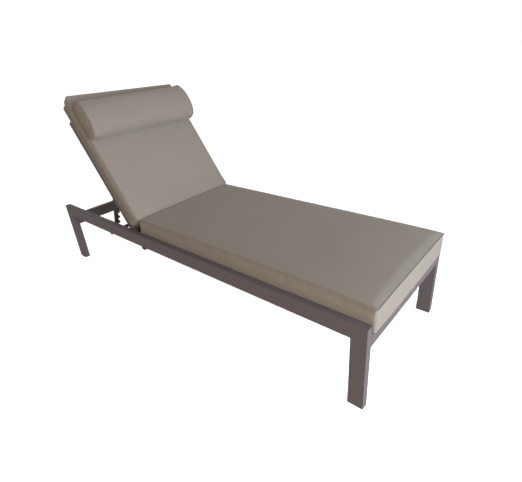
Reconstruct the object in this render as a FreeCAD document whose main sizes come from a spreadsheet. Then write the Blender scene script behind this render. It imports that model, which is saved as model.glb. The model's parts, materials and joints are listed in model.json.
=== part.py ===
import FreeCAD, Part
import math
import os
import re

import Sketcher

# A reclining spa lounger: a welded tube frame, a slatted seat deck, a slatted backrest that pivots between
# the side rails and is propped by two notched arms, two boxed cushions and a head pillow on a flap.
# X runs across the lounger, Y from its foot end to its head end, and Z up from the floor.
# "Left" is the side at -X, as somebody standing at the foot end sees it. Lengths are in millimetres.

DOCUMENT = FreeCAD.newDocument("SpaLounger")
X_AXIS = FreeCAD.Vector(1, 0, 0)
Z_AXIS = FreeCAD.Vector(0, 0, 1)
FULL_TURN = 360
HALF_TURN = 180
BAR_EDGE_COUNT = 4

# Driving dimensions: alias, plain number, what it is
DRIVING = [
    ("frame_length", 2000, "length over the legs"),
    ("frame_width", 680, "width over the rails"),
    ("frame_height", 350, "floor to the top of the rails"),
    ("rail_depth", 60, "long side of the main tube"),
    ("rail_breadth", 30, "short side of the main tube"),
    ("rail_wall", 2, "wall of the main tube"),
    ("rail_corner", 2, "rounding of the main tube"),
    ("cut_overrun", 5, "how far a cutting shape passes the solid"),
    ("running_clearance", 0.05, "round a pin in its hole"),
    ("rest_gap", 0.3, "between pieces that only lie on each other"),
    ("deck_drop", 30, "deck top below the rail top"),
    ("glide_flange", 4, "plastic glide under a leg"),
    ("glide_plug", 22, "part of the glide inside the leg"),
    ("glide_clearance", 0.3, "between the plug and the tube"),
    ("vent_inset", 7, "vent hole of the foot bar, from the leg"),
    ("vent_drop", 7, "vent hole below the bar's top"),
    ("vent_radius", 2, "vent hole"),
    ("vent_head_radius", 3, "head of the vent plug"),
    ("vent_head_height", 1.2, "dome of the vent plug"),
    ("vent_stem", 8, "stem of the vent plug"),
    ("ledge_flange", 20, "both sides of the seat angle"),
    ("ledge_thickness", 3, "thickness of the seat angle"),
    ("screw_inset", 12, "slat screw, from the rail's inner face"),
    ("screw_radius", 2.1, "shank of a slat screw"),
    ("screw_head_radius", 4.2, "head of a slat screw"),
    ("screw_head_height", 2.4, "head of a slat screw"),
    ("screw_length", 9, "shank of a slat screw"),
    ("slat_width", 60, "width of every slat"),
    ("slat_corner", 2, "rounding of every slat"),
    ("seat_slat_depth", 20, "height of a seat slat"),
    ("seat_slat_wall", 1.5, "wall of a seat slat"),
    ("seat_slat_count", 10, "seat slats"),
    ("seat_slat_play", 0.5, "seat slat end to rail"),
    ("seat_overhang", 10, "seat cushion past the foot of the frame"),
    ("seat_length", 1242, "seat cushion, foot to head"),
    ("seat_bar_setback", 3, "seat cushion's end to the seat bar"),
    ("seat_bar_drop", 11.5, "seat bar below the deck, clear of the back cushion as it is lowered"),
    ("pivot_setback", 38, "seat bar to the backrest's pivot"),
    ("side_gap", 5, "between a rail and the backrest frame"),
    ("back_angle", 55, "backrest above the level, in degrees"),
    ("back_tube", 30, "square tube of the backrest"),
    ("back_wall", 2, "wall of the backrest tube"),
    ("back_corner", 2, "rounding of the backrest tube"),
    ("back_foot", 20, "backrest frame below its pivot"),
    ("back_reach", 673, "pivot to the top of the backrest frame"),
    ("low_bar_reach", 30, "pivot to the low bar's centre"),
    ("back_slat_thickness", 7, "thickness of a backrest slat"),
    ("back_slat_count", 5, "backrest slats"),
    ("cap_thickness", 3, "end cap of the backrest tube"),
    ("cap_plug", 10, "part of the end cap inside the tube"),
    ("bolt_radius", 5, "shank of a pivot bolt"),
    ("bolt_head_radius", 8.5, "head of a pivot bolt"),
    ("bolt_head_height", 5, "head of a pivot bolt"),
    ("bolt_nut_radius", 8, "rivet nut of a pivot bolt"),
    ("bolt_nut_length", 14, "rivet nut of a pivot bolt"),
    ("spacer_radius", 12, "plastic washer beside the rail"),
    ("arm_reach", 289, "backrest pivot to the prop arm's pin"),
    ("arm_drop", 7, "arm pin behind the tube's centre line"),
    ("arm_thickness", 10, "prop arm"),
    ("arm_side_gap", 0.5, "prop arm to the backrest tube"),
    ("arm_hub", 14, "radius round the arm's pin"),
    ("arm_neck", 60, "pin to where the arm has its full width"),
    ("arm_tooth_reach", 30, "pin line to the tips of the teeth"),
    ("arm_tip", 35, "last notch to the arm's end"),
    ("arm_tip_chamfer", 10, "corners of the arm's end"),
    ("notch_depth", 10, "rod centre below the tips of the teeth"),
    ("notch_play", 1, "round the catch rod in a notch"),
    ("notch_relief", 5.5, "slope of a notch's flank at its mouth"),
    ("notch_pitch", 33, "from notch to notch"),
    ("notch_count", 4, "notches of an arm"),
    ("arm_pin_radius", 4, "shank of the arm's pin"),
    ("arm_pin_head_radius", 7, "head of the arm's pin"),
    ("arm_pin_head_height", 2.5, "head of the arm's pin"),
    ("arm_nut_radius", 6.5, "lock nut on the arm's pin"),
    ("arm_nut_height", 6, "lock nut on the arm's pin"),
    ("tie_radius", 6, "rod that joins the two arms"),
    ("tie_setback", 15, "arm's end to the tie rod"),
    ("tie_level", 6, "tie rod below the pin line"),
    ("rod_radius", 8, "catch rod"),
    ("rod_reach", 232, "backrest pivot to the catch rod, level"),
    ("rod_gap", 3, "lowered backrest frame to the catch rod"),
    ("rod_overhang", 1, "catch rod past its hangers"),
    ("hanger_inset", 4, "rail's inner face to the hanger"),
    ("hanger_thickness", 8, "plate under the rail"),
    ("hanger_half_width", 16, "plate under the rail"),
    ("hanger_margin", 5, "plate below the catch rod"),
    ("clip_radius", 10.5, "retaining ring on the catch rod"),
    ("clip_thickness", 3, "retaining ring on the catch rod"),
    ("seat_side_gap", 0.5, "seat cushion to the rail"),
    ("seat_corner_height", 90, "seat cushion at its corners"),
    ("seat_edge_height", 98, "seat cushion along its sides"),
    ("seat_crown", 8, "rise of the seat cushion's top"),
    ("seat_drawn_in", 9, "how far the top seam is drawn in"),
    ("seat_side_bulge", 1.5, "bulge of the cushion's side"),
    ("seat_shoulder", 30, "upright foot of the cushion's side"),
    ("end_crown", 0.3, "least rise, bulge and drawing in, at a cushion's very ends"),
    ("back_start", 50, "pivot to the back cushion's foot"),
    ("back_length", 704, "back cushion, foot to head"),
    ("back_cushion_side", 1.5, "back cushion inside the rails"),
    ("back_corner_height", 101, "back cushion at its corners"),
    ("back_edge_height", 105, "back cushion along its sides"),
    ("back_crown", 6, "rise of the back cushion's front"),
    ("back_drawn_in", 16, "rounding of the cushion's front edge, inwards"),
    ("back_side_bulge", 7, "bulge of the back cushion's side"),
    ("back_shoulder", 30, "upright foot of the side"),
    ("pillow_reach", 585, "pivot to the pillow's centre line"),
    ("pillow_height", 200, "pillow, along the backrest"),
    ("pillow_thickness", 100, "pillow, through"),
    ("pillow_width", 606, "pillow, across"),
    ("pillow_gap", 0.5, "pillow to the back cushion"),
    ("flap_width", 604, "flap, across"),
    ("flap_thickness", 2, "flap"),
    ("flap_tuck", 40, "pillow's centre line to the flap's seam"),
    ("flap_bend", 5, "corner of the flap"),
    ("flap_hem", 6, "backrest frame to the flap's lower hem"),
]

# Places worked out from the driving dimensions: alias, formula
WORKED_OUT = [
    ("foot_end", "(seat_overhang - frame_length) / 2"),
    ("head_end", "foot_end + frame_length"),
    ("frame_middle", "foot_end + frame_length / 2"),
    ("rail_centre", "(frame_width - rail_breadth) / 2"),
    ("inner_side", "frame_width / 2 - rail_breadth"),
    ("rail_underside", "frame_height - rail_depth"),
    ("leg_length", "frame_height - glide_flange"),
    ("deck_level", "frame_height - deck_drop"),
    ("deck_underside", "deck_level - seat_slat_depth"),
    ("seat_end", "foot_end - seat_overhang + seat_length"),
    ("seat_bar_place", "seat_end + seat_bar_setback + rail_breadth / 2"),
    ("ledge_start", "foot_end + rail_breadth"),
    ("ledge_length", "seat_bar_place - rail_breadth / 2 - ledge_start"),
    ("seat_slat_gap", "(ledge_length - seat_slat_count * slat_width) / (seat_slat_count + 1)"),
    ("seat_slat_pitch", "slat_width + seat_slat_gap"),
    ("first_seat_slat", "seat_slat_gap + slat_width / 2"),
    ("pivot_place", "seat_bar_place + rail_breadth / 2 + pivot_setback"),
    ("pivot_level", "deck_level - back_tube / 2"),
    ("back_outer", "inner_side - side_gap"),
    ("back_inner", "back_outer - back_tube"),
    ("back_tube_length", "back_foot + back_reach - 2 * cap_thickness"),
    ("back_tube_middle", "(back_reach - back_foot) / 2"),
    ("top_bar_reach", "back_reach - cap_thickness - back_tube / 2"),
    ("slat_field", "top_bar_reach - low_bar_reach - back_tube"),
    ("back_slat_gap", "(slat_field - back_slat_count * slat_width) / (back_slat_count + 1)"),
    ("back_slat_pitch", "slat_width + back_slat_gap"),
    ("first_back_slat", "low_bar_reach + back_tube / 2 + back_slat_gap + slat_width / 2"),
    ("bolt_length", "inner_side + rail_wall + bolt_nut_length - back_inner + rest_gap"),
    ("rod_place", "pivot_place + rod_reach"),
    ("rod_level", "deck_level - back_tube - rod_gap - rod_radius"),
    ("hanger_side", "inner_side + hanger_inset"),
    ("pin_place", "pivot_place + cos(back_angle * 1deg) * arm_reach + sin(back_angle * 1deg) * arm_drop"),
    ("pin_level", "pivot_level + sin(back_angle * 1deg) * arm_reach - cos(back_angle * 1deg) * arm_drop"),
    ("rod_distance", "sqrt((rod_place - pin_place) ^ 2 + (rod_level - pin_level) ^ 2)"),
    ("notch_level", "arm_tooth_reach - notch_depth"),
    ("arm_angle", "asin(notch_level / rod_distance) - acos((rod_place - pin_place) / rod_distance)"),
    ("last_notch", "sqrt(rod_distance ^ 2 - notch_level ^ 2)"),
    ("first_notch", "last_notch - (notch_count - 1) * notch_pitch"),
    ("notch_radius", "rod_radius + notch_play"),
    ("arm_length", "last_notch + arm_tip"),
    ("arm_outer", "back_inner - arm_side_gap"),
    ("arm_inner", "arm_outer - arm_thickness"),
    ("back_end", "back_start + back_length"),
    ("back_face", "back_tube / 2 + rest_gap"),
    ("back_front", "back_face + back_edge_height + back_crown"),
]

# Shares of a cushion's length at which its section is drawn, from one end to the other
STATION_SHARES = (0, 0.03, 0.1, 0.25, 0.5, 0.75, 0.9, 0.97, 1)
# How flat a cushion's middle is: the power in its fullness formula
CUSHION_POWER = 6
# Shares of the pillow's half width at which its section is drawn, and the share of the section at its ends
PILLOW_SHARES = (-1, -0.97, -0.9, -0.75, -0.5, -0.25, 0, 0.25, 0.5, 0.75, 0.9, 0.97, 1)
PILLOW_END_SHARE = 0.75
PILLOW_POWER = 16
# The pillow's oval is a little fuller than an ellipse, whose power would be 2. It runs through these points
OVAL_POWER = 2.3
OVAL_POINTS = 24


def fill_sheet(name, rows):
    """Write one row for each size: its name, its number or formula under that alias, and its meaning."""
    sheet = DOCUMENT.addObject("Spreadsheet::Sheet", name)
    for line, (alias, content, *meaning) in enumerate(rows, start=1):
        sheet.set(f"A{line}", alias)
        sheet.set(f"B{line}", str(content))
        sheet.setAlias(f"B{line}", alias)
        for words in meaning:
            sheet.set(f"C{line}", words)
    DOCUMENT.recompute()
    return sheet


SHEET_OF = {row[0]: "Sizes" for row in DRIVING} | {row[0]: "Places" for row in WORKED_OUT}


def formula(text):
    """Put the sheet's name before every size that the text names."""
    for word in set(re.findall(r"[a-z_]+", text)) & set(SHEET_OF):
        text = re.sub(rf"(?<![a-z_.]){word}(?![a-z_])", f"{SHEET_OF[word]}.{word}", text)
    return text


SIZES = fill_sheet("Sizes", DRIVING)
PLACES = fill_sheet("Places", [(alias, "=" + formula(text)) for alias, text in WORKED_OUT])


def value(text):
    """Work a formula out as a number."""
    return float(SIZES.evalExpression(formula(text)))


def bind(thing, path, text):
    """Tie a property to the sheets."""
    thing.setExpression(path, formula(text))


def place(thing, across="0", along="0", up="0"):
    """Set a sub-part down in the lounger's frame."""
    bind(thing, "Placement.Base.x", across)
    bind(thing, "Placement.Base.y", along)
    bind(thing, "Placement.Base.z", up)


def place_on_back(thing, across="0", along="0", height="0"):
    """Set a sub-part down on the backrest, which leans at its angle from the pivot."""
    thing.Placement.Rotation = FreeCAD.Rotation(X_AXIS, value("back_angle"))
    bind(thing, "Placement.Rotation.Angle", "back_angle * 1deg")
    cosine = "cos(back_angle * 1deg)"
    sine = "sin(back_angle * 1deg)"
    place(thing, across, f"pivot_place + ({along}) * {cosine} - ({height}) * {sine}",
          f"pivot_level + ({along}) * {sine} + ({height}) * {cosine}")


def place_on_arm(thing, across="0"):
    """Set a sub-part down in the frame of the prop arms, with the arm's pin at its origin."""
    thing.Placement.Rotation = FreeCAD.Rotation(-X_AXIS, -value("arm_angle"))
    bind(thing, "Placement.Rotation.Angle", "-arm_angle")
    place(thing, across, "pin_place", "pin_level")


def turn_half(thing):
    """Turn a sub-part end for end about the upright axis."""
    thing.Placement.Rotation = FreeCAD.Rotation(Z_AXIS, HALF_TURN)


def new_body(label):
    body = DOCUMENT.addObject("PartDesign::Body", label)
    body.Label = label
    return body


def origin_feature(body, role):
    return next(feature for feature in body.Origin.OriginFeatures if feature.Role == role)


def new_sketch(body, plane, across="0", up="0", lift="0"):
    """Attach a sketch to a plane of its body, shifted in that plane and lifted off it."""
    sketch = body.newObject("Sketcher::SketchObject", f"{body.Name}_sketch")
    sketch.AttachmentSupport = [(origin_feature(body, plane), "")]
    sketch.MapMode = "FlatFace"
    bind(sketch, "AttachmentOffset.Base.x", across)
    bind(sketch, "AttachmentOffset.Base.y", up)
    bind(sketch, "AttachmentOffset.Base.z", lift)
    return sketch


def polygon(sketch, corners):
    """Draw a closed outline whose corners are pairs of formulas."""
    first = sketch.GeometryCount
    count = len(corners)
    spots = [FreeCAD.Vector(value(across), value(up), 0) for across, up in corners]
    for index in range(count):
        sketch.addGeometry(Part.LineSegment(spots[index], spots[(index + 1) % count]), False)
    for index in range(count):
        follower = first + (index + 1) % count
        sketch.addConstraint(Sketcher.Constraint("Coincident", first + index, 2, follower, 1))
    for index, (across, up) in enumerate(corners):
        for kind, text, number in (("DistanceX", across, spots[index].x), ("DistanceY", up, spots[index].y)):
            constraint = sketch.addConstraint(Sketcher.Constraint(kind, -1, 1, first + index, 1, number))
            bind(sketch, f"Constraints[{constraint}]", text)


def rectangle(sketch, width, height):
    """Draw a rectangle round the sketch's origin."""
    left, right = f"-({width}) / 2", f"({width}) / 2"
    bottom, top = f"-({height}) / 2", f"({height}) / 2"
    polygon(sketch, [(left, bottom), (right, bottom), (right, top), (left, top)])


def circle(sketch, radius, across="0", up="0"):
    """Draw a circle round a point of the sketch."""
    centre = FreeCAD.Vector(value(across), value(up), 0)
    curve = sketch.addGeometry(Part.Circle(centre, Z_AXIS, value(radius)), False)
    rules = (("Radius", [curve], radius, value(radius)), ("DistanceX", [-1, 1, curve, 3], across, centre.x),
             ("DistanceY", [-1, 1, curve, 3], up, centre.y))
    for kind, ends, text, number in rules:
        constraint = sketch.addConstraint(Sketcher.Constraint(kind, *ends, number))
        bind(sketch, f"Constraints[{constraint}]", text)


def pad(body, sketch, length, side="Symmetric", backwards=False):
    feature = body.newObject("PartDesign::Pad", f"{body.Name}_pad")
    feature.Profile = sketch
    feature.SideType = side
    feature.Reversed = backwards
    bind(feature, "Length", length)
    DOCUMENT.recompute()
    return feature


def pocket(body, sketch, side="Symmetric", backwards=False):
    """Cut a sketch through all of the body, and make sure that the cut took something away."""
    before = body.Shape.Volume
    feature = body.newObject("PartDesign::Pocket", f"{body.Name}_pocket")
    feature.Profile = sketch
    feature.Type = "ThroughAll"
    feature.SideType = side
    feature.Reversed = backwards
    DOCUMENT.recompute()
    if not body.Shape.Volume < before:
        raise RuntimeError(f"{body.Label}: a pocket cuts nothing")
    return feature


def revolve(body, sketch, axis):
    feature = body.newObject("PartDesign::Revolution", f"{body.Name}_turned")
    feature.Profile = sketch
    feature.ReferenceAxis = (sketch, [axis])
    feature.Angle = FULL_TURN
    DOCUMENT.recompute()
    return feature


def repeat(body, features, pitch, count):
    """Repeat features along the body's own Y axis."""
    pattern = body.newObject("PartDesign::LinearPattern", f"{body.Name}_row")
    pattern.Originals = features
    pattern.Direction = (origin_feature(body, "Y_Axis"), [""])
    bind(pattern, "Length", f"({count} - 1) * {pitch}")
    bind(pattern, "Occurrences", count)
    body.Tip = pattern
    DOCUMENT.recompute()
    return pattern


def mirror(body, features, plane):
    """Mirror features across a plane of the body."""
    mirrored = body.newObject("PartDesign::Mirrored", f"{body.Name}_mirrored")
    mirrored.Originals = features
    mirrored.MirrorPlane = (origin_feature(body, plane), [""])
    body.Tip = mirrored
    DOCUMENT.recompute()
    return mirrored


def round_long_edges(body, feature, radius):
    """Round the outer edges that run the whole length of a bar, which are the furthest from its middle."""
    edges = [(index, edge) for index, edge in enumerate(feature.Shape.Edges, start=1)
             if edge.Curve.TypeId == "Part::GeomLine"]
    longest = max(edge.Length for _, edge in edges)
    middle = feature.Shape.BoundBox.Center
    running = [(index, edge) for index, edge in edges if math.isclose(edge.Length, longest)]
    running.sort(key=lambda pair: (pair[1].CenterOfMass - middle).Length)
    fillet = body.newObject("PartDesign::Fillet", f"{body.Name}_rounded")
    fillet.Base = (feature, [f"Edge{index}" for index, _ in running[-BAR_EDGE_COUNT:]])
    bind(fillet, "Radius", radius)
    DOCUMENT.recompute()
    return fillet


def tube(label, plane, width, height, wall, length, corner):
    """Make a straight hollow tube, centred on its own origin and square to the given plane."""
    body = new_body(label)
    section = new_sketch(body, plane)
    rectangle(section, width, height)
    rectangle(section, f"{width} - 2 * {wall}", f"{height} - 2 * {wall}")
    bar = pad(body, section, length)
    round_long_edges(body, bar, corner)
    return body


def ring_pair(label, start, length, outer, inner):
    """Make two rings on one axis across the lounger, one on each side."""
    body = new_body(label)
    section = new_sketch(body, "YZ_Plane", lift=start)
    circle(section, outer)
    circle(section, inner)
    ring = pad(body, section, length, side="One side")
    mirror(body, [ring], "YZ_Plane")
    return body


def make_rail(label, side):
    """A side rail: its ends are mitred onto the legs, and its inner wall takes the pivot bolt."""
    body = tube(label, "XZ_Plane", "rail_breadth", "rail_depth", "rail_wall", "frame_length", "rail_corner")
    mitre = new_sketch(body, "YZ_Plane")
    outside = "-frame_length / 2 - cut_overrun"
    inside = "rail_depth - frame_length / 2 + cut_overrun"
    top = "rail_depth / 2 + cut_overrun"
    bottom = "-rail_depth / 2 - cut_overrun"
    polygon(mitre, [(outside, top), (inside, bottom), (outside, bottom)])
    mirror(body, [pocket(body, mitre)], "XZ_Plane")
    hole = new_sketch(body, "YZ_Plane")
    circle(hole, "bolt_radius + running_clearance", "pivot_place - frame_middle",
           "pivot_level - frame_height + rail_depth / 2")
    pocket(body, hole, side="One side", backwards=side < 0)
    place(body, f"{side} * rail_centre", "frame_middle", "frame_height - rail_depth / 2")
    return body


def make_leg(label, side, end):
    """A leg: its top is mitred onto the rail, with the long point outwards."""
    body = tube(label, "XY_Plane", "rail_breadth", "rail_depth", "rail_wall", "leg_length", "rail_corner")
    mitre = new_sketch(body, "YZ_Plane")
    top = "leg_length / 2 + cut_overrun"
    outside = "-rail_depth / 2 - cut_overrun"
    inside = "rail_depth / 2 + cut_overrun"
    polygon(mitre, [(outside, top), (inside, "leg_length / 2 - rail_depth - cut_overrun"), (inside, top)])
    pocket(body, mitre)
    if end == "head":
        turn_half(body)
    set_back = {"foot": "foot_end + rail_depth / 2", "head": "head_end - rail_depth / 2"}[end]
    place(body, f"{side} * rail_centre", set_back, "glide_flange + leg_length / 2")
    return body


def make_glide(label, side, end):
    """A plastic glide: a foot the size of the tube, and a plug inside the tube."""
    body = new_body(label)
    foot = new_sketch(body, "XY_Plane")
    rectangle(foot, "rail_breadth", "rail_depth")
    flange = pad(body, foot, "glide_flange", side="One side")
    upright = [f"Edge{index}" for index, edge in enumerate(flange.Shape.Edges, start=1)
               if math.isclose(edge.Length, value("glide_flange"))]
    fillet = body.newObject("PartDesign::Fillet", f"{label}_rounded")
    fillet.Base = (flange, upright)
    bind(fillet, "Radius", "rail_corner")
    DOCUMENT.recompute()
    plug = new_sketch(body, "XY_Plane", lift="glide_flange")
    rectangle(plug, "rail_breadth - 2 * (rail_wall + glide_clearance)",
              "rail_depth - 2 * (rail_wall + glide_clearance)")
    pad(body, plug, "glide_plug", side="One side")
    set_back = {"foot": "foot_end + rail_depth / 2", "head": "head_end - rail_depth / 2"}[end]
    place(body, f"{side} * rail_centre", set_back)
    return body


def make_crossbar(label, along, top):
    """A crossbar between the two sides of the frame."""
    body = tube(label, "YZ_Plane", "rail_breadth", "rail_depth", "rail_wall", "2 * inner_side", "rail_corner")
    place(body, along=along, up=f"{top} - rail_depth / 2")
    return body


def cut_vent_holes(foot_bar):
    """Vent holes let the air out of the closed tube while it is welded. They are in its front wall."""
    holes = new_sketch(foot_bar, "XZ_Plane")
    for side in (-1, 1):
        circle(holes, "vent_radius + running_clearance", f"{side} * (inner_side - vent_inset)",
               "rail_depth / 2 - vent_drop")
    pocket(foot_bar, holes, side="One side", backwards=True)


def make_vent_plugs():
    """Small domed plugs close the vent holes."""
    body = new_body("vent_plugs")
    profile = new_sketch(body, "XY_Plane", across="inner_side - vent_inset")
    polygon(profile, [("0", "-vent_head_height"), ("vent_radius", "-vent_head_height"),
                      ("vent_head_radius", "0"), ("vent_radius", "0"), ("vent_radius", "vent_stem"),
                      ("0", "vent_stem")])
    mirror(body, [revolve(body, profile, "V_Axis")], "YZ_Plane")
    place(body, along="foot_end", up="deck_level - vent_drop")
    return body


def make_ledge(label, side):
    """A steel angle on the rail's inner face, drilled for the screws that hold the seat slats."""
    body = new_body(label)
    section = new_sketch(body, "XZ_Plane")
    polygon(section, [("0", "0"), ("ledge_flange", "0"), ("ledge_flange", "-ledge_thickness"),
                      ("ledge_thickness", "-ledge_thickness"), ("ledge_thickness", "-ledge_flange"),
                      ("0", "-ledge_flange")])
    pad(body, section, "ledge_length")
    hole = new_sketch(body, "XY_Plane")
    circle(hole, "screw_radius + running_clearance", "screw_inset", "first_seat_slat - ledge_length / 2")
    repeat(body, [pocket(body, hole)], "seat_slat_pitch", "seat_slat_count")
    if side > 0:
        turn_half(body)
    place(body, f"{side} * inner_side", "ledge_start + ledge_length / 2", "deck_underside")
    return body


def make_slat_screws(label, side):
    """The pan head screws of one side, driven up through the angle into the slats."""
    body = new_body(label)
    profile = new_sketch(body, "XZ_Plane", across="screw_inset")
    polygon(profile, [("0", "-screw_head_height"), ("screw_head_radius", "-screw_head_height"),
                      ("screw_head_radius", "0"), ("screw_radius", "0"), ("screw_radius", "screw_length"),
                      ("0", "screw_length")])
    screw = revolve(body, profile, "V_Axis")
    repeat(body, [screw], "seat_slat_pitch", "seat_slat_count")
    start = "ledge_start + first_seat_slat"
    if side > 0:
        turn_half(body)
        start += " + (seat_slat_count - 1) * seat_slat_pitch"
    place(body, f"{side} * inner_side", start, "deck_underside - ledge_thickness")
    return body


def make_seat_slat(index):
    """A hollow slat that lies on both angles. Its lower wall is drilled for a screw at each end."""
    body = tube(f"seat_slat_{index + 1}", "YZ_Plane", "slat_width", "seat_slat_depth", "seat_slat_wall",
                "2 * (inner_side - seat_slat_play)", "slat_corner")
    holes = new_sketch(body, "XY_Plane")
    for side in (-1, 1):
        circle(holes, "screw_radius + running_clearance", f"{side} * (inner_side - screw_inset)")
    pocket(body, holes, side="One side")
    place(body, along=f"ledge_start + first_seat_slat + {index} * seat_slat_pitch",
          up="deck_level - seat_slat_depth / 2")
    return body


def make_back_tube(label, side):
    """A side tube of the backrest, drilled for the pivot bolt and for the prop arm's pin."""
    body = tube(label, "XZ_Plane", "back_tube", "back_tube", "back_wall", "back_tube_length", "back_corner")
    holes = new_sketch(body, "YZ_Plane")
    circle(holes, "bolt_radius + running_clearance", "-back_tube_middle")
    circle(holes, "arm_pin_radius + running_clearance", "arm_reach - back_tube_middle", "-arm_drop")
    pocket(body, holes)
    place_on_back(body, f"{side} * (back_outer - back_tube / 2)", "back_tube_middle")
    return body


def make_back_bar(label, along):
    """A bar between the side tubes of the backrest."""
    body = tube(label, "YZ_Plane", "back_tube", "back_tube", "back_wall", "2 * back_inner", "back_corner")
    place_on_back(body, along=along)
    return body


def make_back_slat(index):
    """A flat slat welded between the side tubes, flush with their front."""
    label = f"back_slat_{index + 1}"
    body = new_body(label)
    section = new_sketch(body, "YZ_Plane")
    rectangle(section, "slat_width", "back_slat_thickness")
    round_long_edges(body, pad(body, section, "2 * back_inner"), "slat_corner")
    place_on_back(body, along=f"first_back_slat + {index} * back_slat_pitch",
                  height="(back_tube - back_slat_thickness) / 2")
    return body


def make_back_caps(label, side):
    """The two plastic caps that close one side tube of the backrest."""
    body = new_body(label)
    face = new_sketch(body, "XZ_Plane", lift="back_tube_length / 2")
    rectangle(face, "back_tube", "back_tube")
    plate = pad(body, face, "cap_thickness", side="One side")
    inside = new_sketch(body, "XZ_Plane", lift="back_tube_length / 2")
    rectangle(inside, "back_tube - 2 * (back_wall + glide_clearance)",
              "back_tube - 2 * (back_wall + glide_clearance)")
    plug = pad(body, inside, "cap_plug", side="One side", backwards=True)
    mirror(body, [plate, plug], "XZ_Plane")
    place_on_back(body, f"{side} * (back_outer - back_tube / 2)", "back_tube_middle")
    return body


def make_pivot_bolt(label, side):
    """A bolt on which the backrest turns: its head is inboard, and its thread is in the rail's rivet nut."""
    body = new_body(label)
    profile = new_sketch(body, "XY_Plane")
    polygon(profile, [("-bolt_head_height", "0"), ("bolt_length", "0"), ("bolt_length", "bolt_radius"),
                      ("0", "bolt_radius"), ("0", "bolt_head_radius"),
                      ("-bolt_head_height", "bolt_head_radius")])
    revolve(body, profile, "H_Axis")
    if side < 0:
        turn_half(body)
    place(body, f"{side} * (back_inner - rest_gap)", "pivot_place", "pivot_level")
    return body


def make_arm_pins():
    """Pins on which the prop arms swing: a low head outside the backrest tube, the end inside the arm."""
    body = new_body("arm_pins")
    profile = new_sketch(body, "XY_Plane")
    seat = "back_outer + rest_gap"
    outside = f"{seat} + arm_pin_head_height"
    end = "arm_inner - rest_gap - arm_nut_height"
    polygon(profile, [(end, "0"), (outside, "0"), (outside, "arm_pin_head_radius"),
                      (seat, "arm_pin_head_radius"), (seat, "arm_pin_radius"), (end, "arm_pin_radius")])
    mirror(body, [revolve(body, profile, "H_Axis")], "YZ_Plane")
    place_on_back(body, along="arm_reach", height="-arm_drop")
    return body


def make_arm(label, side):
    """A prop arm: a flat bar with a hub at the pin and a row of notches that hook on the catch rod."""
    body = new_body(label)
    outline = new_sketch(body, "YZ_Plane")
    polygon(outline, [("0", "-arm_hub"), ("arm_neck", "-arm_tooth_reach"),
                      ("arm_length - arm_tip_chamfer", "-arm_tooth_reach"),
                      ("arm_length", "arm_tip_chamfer - arm_tooth_reach"),
                      ("arm_length", "arm_hub - arm_tip_chamfer"),
                      ("arm_length - arm_tip_chamfer", "arm_hub"), ("0", "arm_hub")])
    pad(body, outline, "arm_thickness")
    hub = new_sketch(body, "YZ_Plane")
    circle(hub, "arm_hub")
    pad(body, hub, "arm_thickness")
    holes = new_sketch(body, "YZ_Plane")
    circle(holes, "arm_pin_radius + running_clearance")
    circle(holes, "tie_radius + running_clearance", "arm_length - tie_setback", "-tie_level")
    pocket(body, holes)
    seat = new_sketch(body, "YZ_Plane", "first_notch", "-notch_level")
    circle(seat, "notch_radius")
    mouth = new_sketch(body, "YZ_Plane", "first_notch", "-notch_level")
    polygon(mouth, [("notch_radius", "0"), ("notch_radius", "-notch_depth - cut_overrun"),
                    ("-notch_radius - notch_relief", "-notch_depth - cut_overrun"),
                    ("-notch_radius - notch_relief", "-notch_depth"), ("-notch_radius", "0")])
    repeat(body, [pocket(body, seat), pocket(body, mouth)], "notch_pitch", "notch_count")
    place_on_arm(body, f"{side} * (arm_inner + arm_thickness / 2)")
    return body


def make_tie_rod():
    """The rod that joins the ends of the two arms, so that they swing as one."""
    body = new_body("arm_tie_rod")
    section = new_sketch(body, "YZ_Plane")
    circle(section, "tie_radius", "arm_length - tie_setback", "-tie_level")
    pad(body, section, "2 * arm_outer")
    place_on_arm(body)
    return body


def make_catch_rod():
    """The fixed rod under the rails on which the notched arms stand."""
    body = new_body("catch_rod")
    section = new_sketch(body, "YZ_Plane")
    circle(section, "rod_radius")
    pad(body, section, "2 * (hanger_side + hanger_thickness + rod_overhang)")
    place(body, along="rod_place", up="rod_level")
    return body


def make_hanger(label, side):
    """A plate under the rail that carries one end of the catch rod."""
    body = new_body(label)
    outline = new_sketch(body, "YZ_Plane")
    top = "rail_underside - rod_level"
    bottom = "-rod_radius - hanger_margin"
    polygon(outline, [("-hanger_half_width", top), ("-hanger_half_width", "0"),
                      ("-hanger_half_width / 2", bottom), ("hanger_half_width / 2", bottom),
                      ("hanger_half_width", "0"), ("hanger_half_width", top)])
    pad(body, outline, "hanger_thickness")
    hole = new_sketch(body, "YZ_Plane")
    circle(hole, "rod_radius + running_clearance")
    pocket(body, hole)
    place(body, f"{side} * (hanger_side + hanger_thickness / 2)", "rod_place", "rod_level")
    return body


def fullness(share):
    """Rise from 0 at both ends of a cushion to 1 along its middle: 1 - (2 share - 1) ^ power."""
    return 1 - (2 * share - 1) ** CUSHION_POWER


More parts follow.
